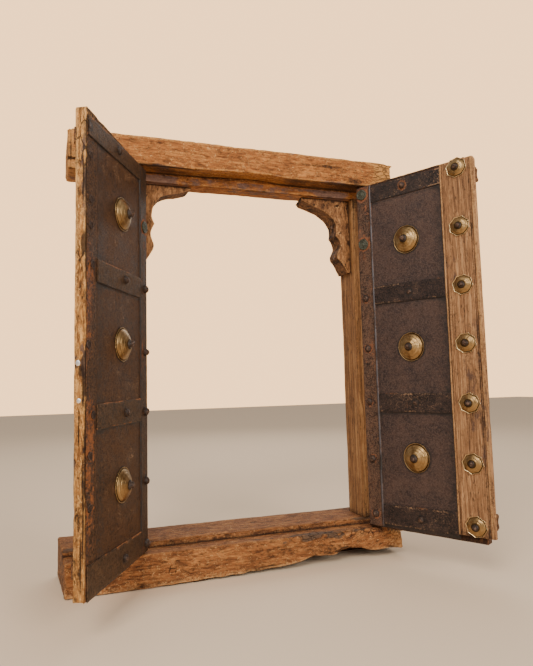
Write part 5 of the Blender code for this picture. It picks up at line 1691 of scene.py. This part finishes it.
def back_nail(leaf, name, s, z, n, seed):
    """A clinched nail tip on the back: a short drawn-out dome lying on the wood."""
    ring, rise, angle = low_dome(6, 12, 0.1, -0.5)
    lie = np.random.default_rng(seed).uniform(0, math.pi)
    along, over = 5.5 * MM * ring * np.cos(angle), 1.5 * MM * ring * np.sin(angle)
    local = np.stack([s + along * math.cos(lie) - over * math.sin(lie),
                      n - rise * 1.1 * MM * np.ones(12),
                      z + along * math.sin(lie) + over * math.cos(lie)], axis=-1)
    piece = shell(name, leaf.place(local), iron_marks(local, rust=0.5, rubbed=0.2), NAIL_IRON)
    settle(piece, leaf.body, [])


def edge_pins():
    """Two bright nail heads, driven into the left leaf's meeting edge from the side."""
    leaf = LEFT
    edge = leaf.extent("left_board")[1][0]
    ring, rise, angle = low_dome(7, 20, 0.08, -0.5)
    for number, (n, z, radius) in enumerate(EDGE_PINS):
        local = np.stack([edge - 0.6 * MM + rise * 0.9 * MM * np.ones(20),
                          (n + radius * ring * np.cos(angle)) * MM,
                          (z + radius * 1.15 * ring * np.sin(angle)) * MM], axis=-1)
        piece = shell(f"left_edge_pin_{number + 1}", leaf.place(local),
                      iron_marks(local, rubbed=0.9), STEEL_NAIL)
        settle(piece, leaf.body, [])


EDGE_PINS = ((-1.6, 309.3, 3.3), (-0.7, 266.8, 2.7))
"""The two pins in millimetres: place across the edge, height and radius."""


def bracket_nails():
    """Two small blued nail heads in the right bracket's carved edge: low domes facing out of it."""
    ring, rise, angle = low_dome(6, 16, 0.08, -1.0)
    for number, (place, facing) in enumerate(BRACKET_NAILS):
        facing = np.array(facing) / np.linalg.norm(facing)
        aside = np.cross(facing, (0.0, 1.0, 0.0))
        points = (np.array(place) + 2.4 * MM * ring[..., None] * (
            np.cos(angle)[:, None] * aside + np.sin(angle)[:, None] * np.array([0.0, 1.0, 0.0]))
            + 0.8 * MM * rise[..., None] * facing)
        piece = shell(f"bracket_right_nail_{number + 1}", points,
                      iron_marks(points, rubbed=0.9), NAIL_IRON)
        settle(piece, "frame", [])


BRACKET_NAILS = (((0.1495, -0.0015, 0.5515), (-0.93, 0.0, -0.30)),
                 ((0.1522, -0.0005, 0.4965), (-0.97, 0.0, 0.10)))
"""Place of each nail in the right bracket, in metres, and the way its head faces."""


def studio():
    """Pale floor, soft lights and the camera. The camera's three turns are yaw to the right,
    pitch up and roll."""
    mesh = bpy.data.meshes.new("floor")
    size = 6.0
    mesh.from_pydata([(-size, -size, 0), (size, -size, 0), (size, size, 0), (-size, size, 0)], [],
                     [(0, 1, 2, 3)])
    floor = placed("floor", mesh)
    pale = bpy.data.materials.new("pale_floor")
    pale.use_nodes = True
    shader = pale.node_tree.nodes["Principled BSDF"].inputs
    shader["Base Color"].default_value = paint(240, 214, 184)
    shader["Roughness"].default_value = 0.85
    mesh.materials.append(pale)
    world = bpy.data.worlds.new("soft_room")
    world.use_nodes = True
    bpy.context.scene.world = world
    net = Net(world.node_tree)
    background = world.node_tree.nodes["Background"].inputs
    background["Color"].default_value = (1.0, 0.93, 0.85, 1.0)
    background["Strength"].default_value = 0.55
    seen = net.add("ShaderNodeBackground", {"Color": (1.0, 0.595, 0.285, 1.0), "Strength": 2.8})
    seen_first = net.add("ShaderNodeMixShader", {
        0: net.add("ShaderNodeLightPath").outputs["Is Camera Ray"],
        1: world.node_tree.nodes["Background"].outputs[0], 2: seen.outputs[0]})
    world.node_tree.links.new(seen_first.outputs[0], world.node_tree.nodes["World Output"].inputs[0])
    for name, place, size, power, colour in LIGHTS:
        lamp = bpy.data.lights.new(name, "AREA")
        lamp.shape = "SQUARE"
        lamp.size = size
        lamp.energy = power
        lamp.color = colour
        holder = placed(name, lamp)
        away = np.array(place) - np.array(LIT_POINT)
        away = away / np.linalg.norm(away)
        aside = np.cross((0.0, 0.0, 1.0), away)
        aside = aside / np.linalg.norm(aside)
        holder.matrix_world = turned_to(aside, np.cross(away, aside), away, place)
    lens = bpy.data.cameras.new("camera")
    lens.sensor_width = 36.0
    lens.sensor_fit = "HORIZONTAL"
    lens.lens = FOCAL_SHARE * 36.0
    lens.clip_start = 0.01
    camera = placed("camera", lens)
    yaw, pitch, roll = (math.radians(turn) for turn in CAMERA_TURNS)
    ahead = np.array([math.sin(yaw) * math.cos(pitch), math.cos(yaw) * math.cos(pitch), math.sin(pitch)])
    level = np.array([math.cos(yaw), -math.sin(yaw), 0.0])
    upright = np.cross(level, ahead)
    aside = level * math.cos(roll) + upright * math.sin(roll)
    above = upright * math.cos(roll) - level * math.sin(roll)
    camera.matrix_world = turned_to(aside, above, -ahead, CAMERA_PLACE)
    bpy.context.scene.camera = camera


def turned_to(aside, above, back, place):
    """Placing matrix of three axes and a point."""
    rows = [[*axis, at] for axis, at in zip(zip(aside, above, back), place)]
    return Matrix([*rows, [0.0, 0.0, 0.0, 1.0]])


CAMERA_PLACE = (-0.2670, -0.8752, 0.2800)
CAMERA_TURNS = (18.42, 5.25, -1.445)
FOCAL_SHARE = 558.1 / 533
"""The camera's place in metres, its turns in degrees, and its focal length as a share of the
picture's width."""
LIT_POINT = (0.0, -0.05, 0.33)
LIGHTS = (("key", (-1.15, -1.75, 1.75), 1.0, 38.0, (1.0, 0.95, 0.87)),
          ("front", (0.75, -2.1, 1.0), 0.8, 24.0, (1.0, 0.96, 0.90)),
          ("behind", (0.6, 1.6, 1.6), 1.6, 14.0, (1.0, 0.97, 0.93)))


def build():
    lintel()
    sill()
    jamb("jamb_left", -1)
    jamb("jamb_right", 1)
    bracket("bracket_left", -1)
    bracket("bracket_right", 1)
    bracket_nails()
    for leaf in (LEFT, RIGHT):
        board(leaf)
        sheet(leaf)
        hinge_strip(leaf)
        for number in (1, 2, 3, 4):
            strap(leaf, number)
        washers(leaf)
        bosses(leaf)
        battens(leaf)
    edge_strip()
    edge_pins()
    meeting_strip()
    flowers()
    studio()


build()
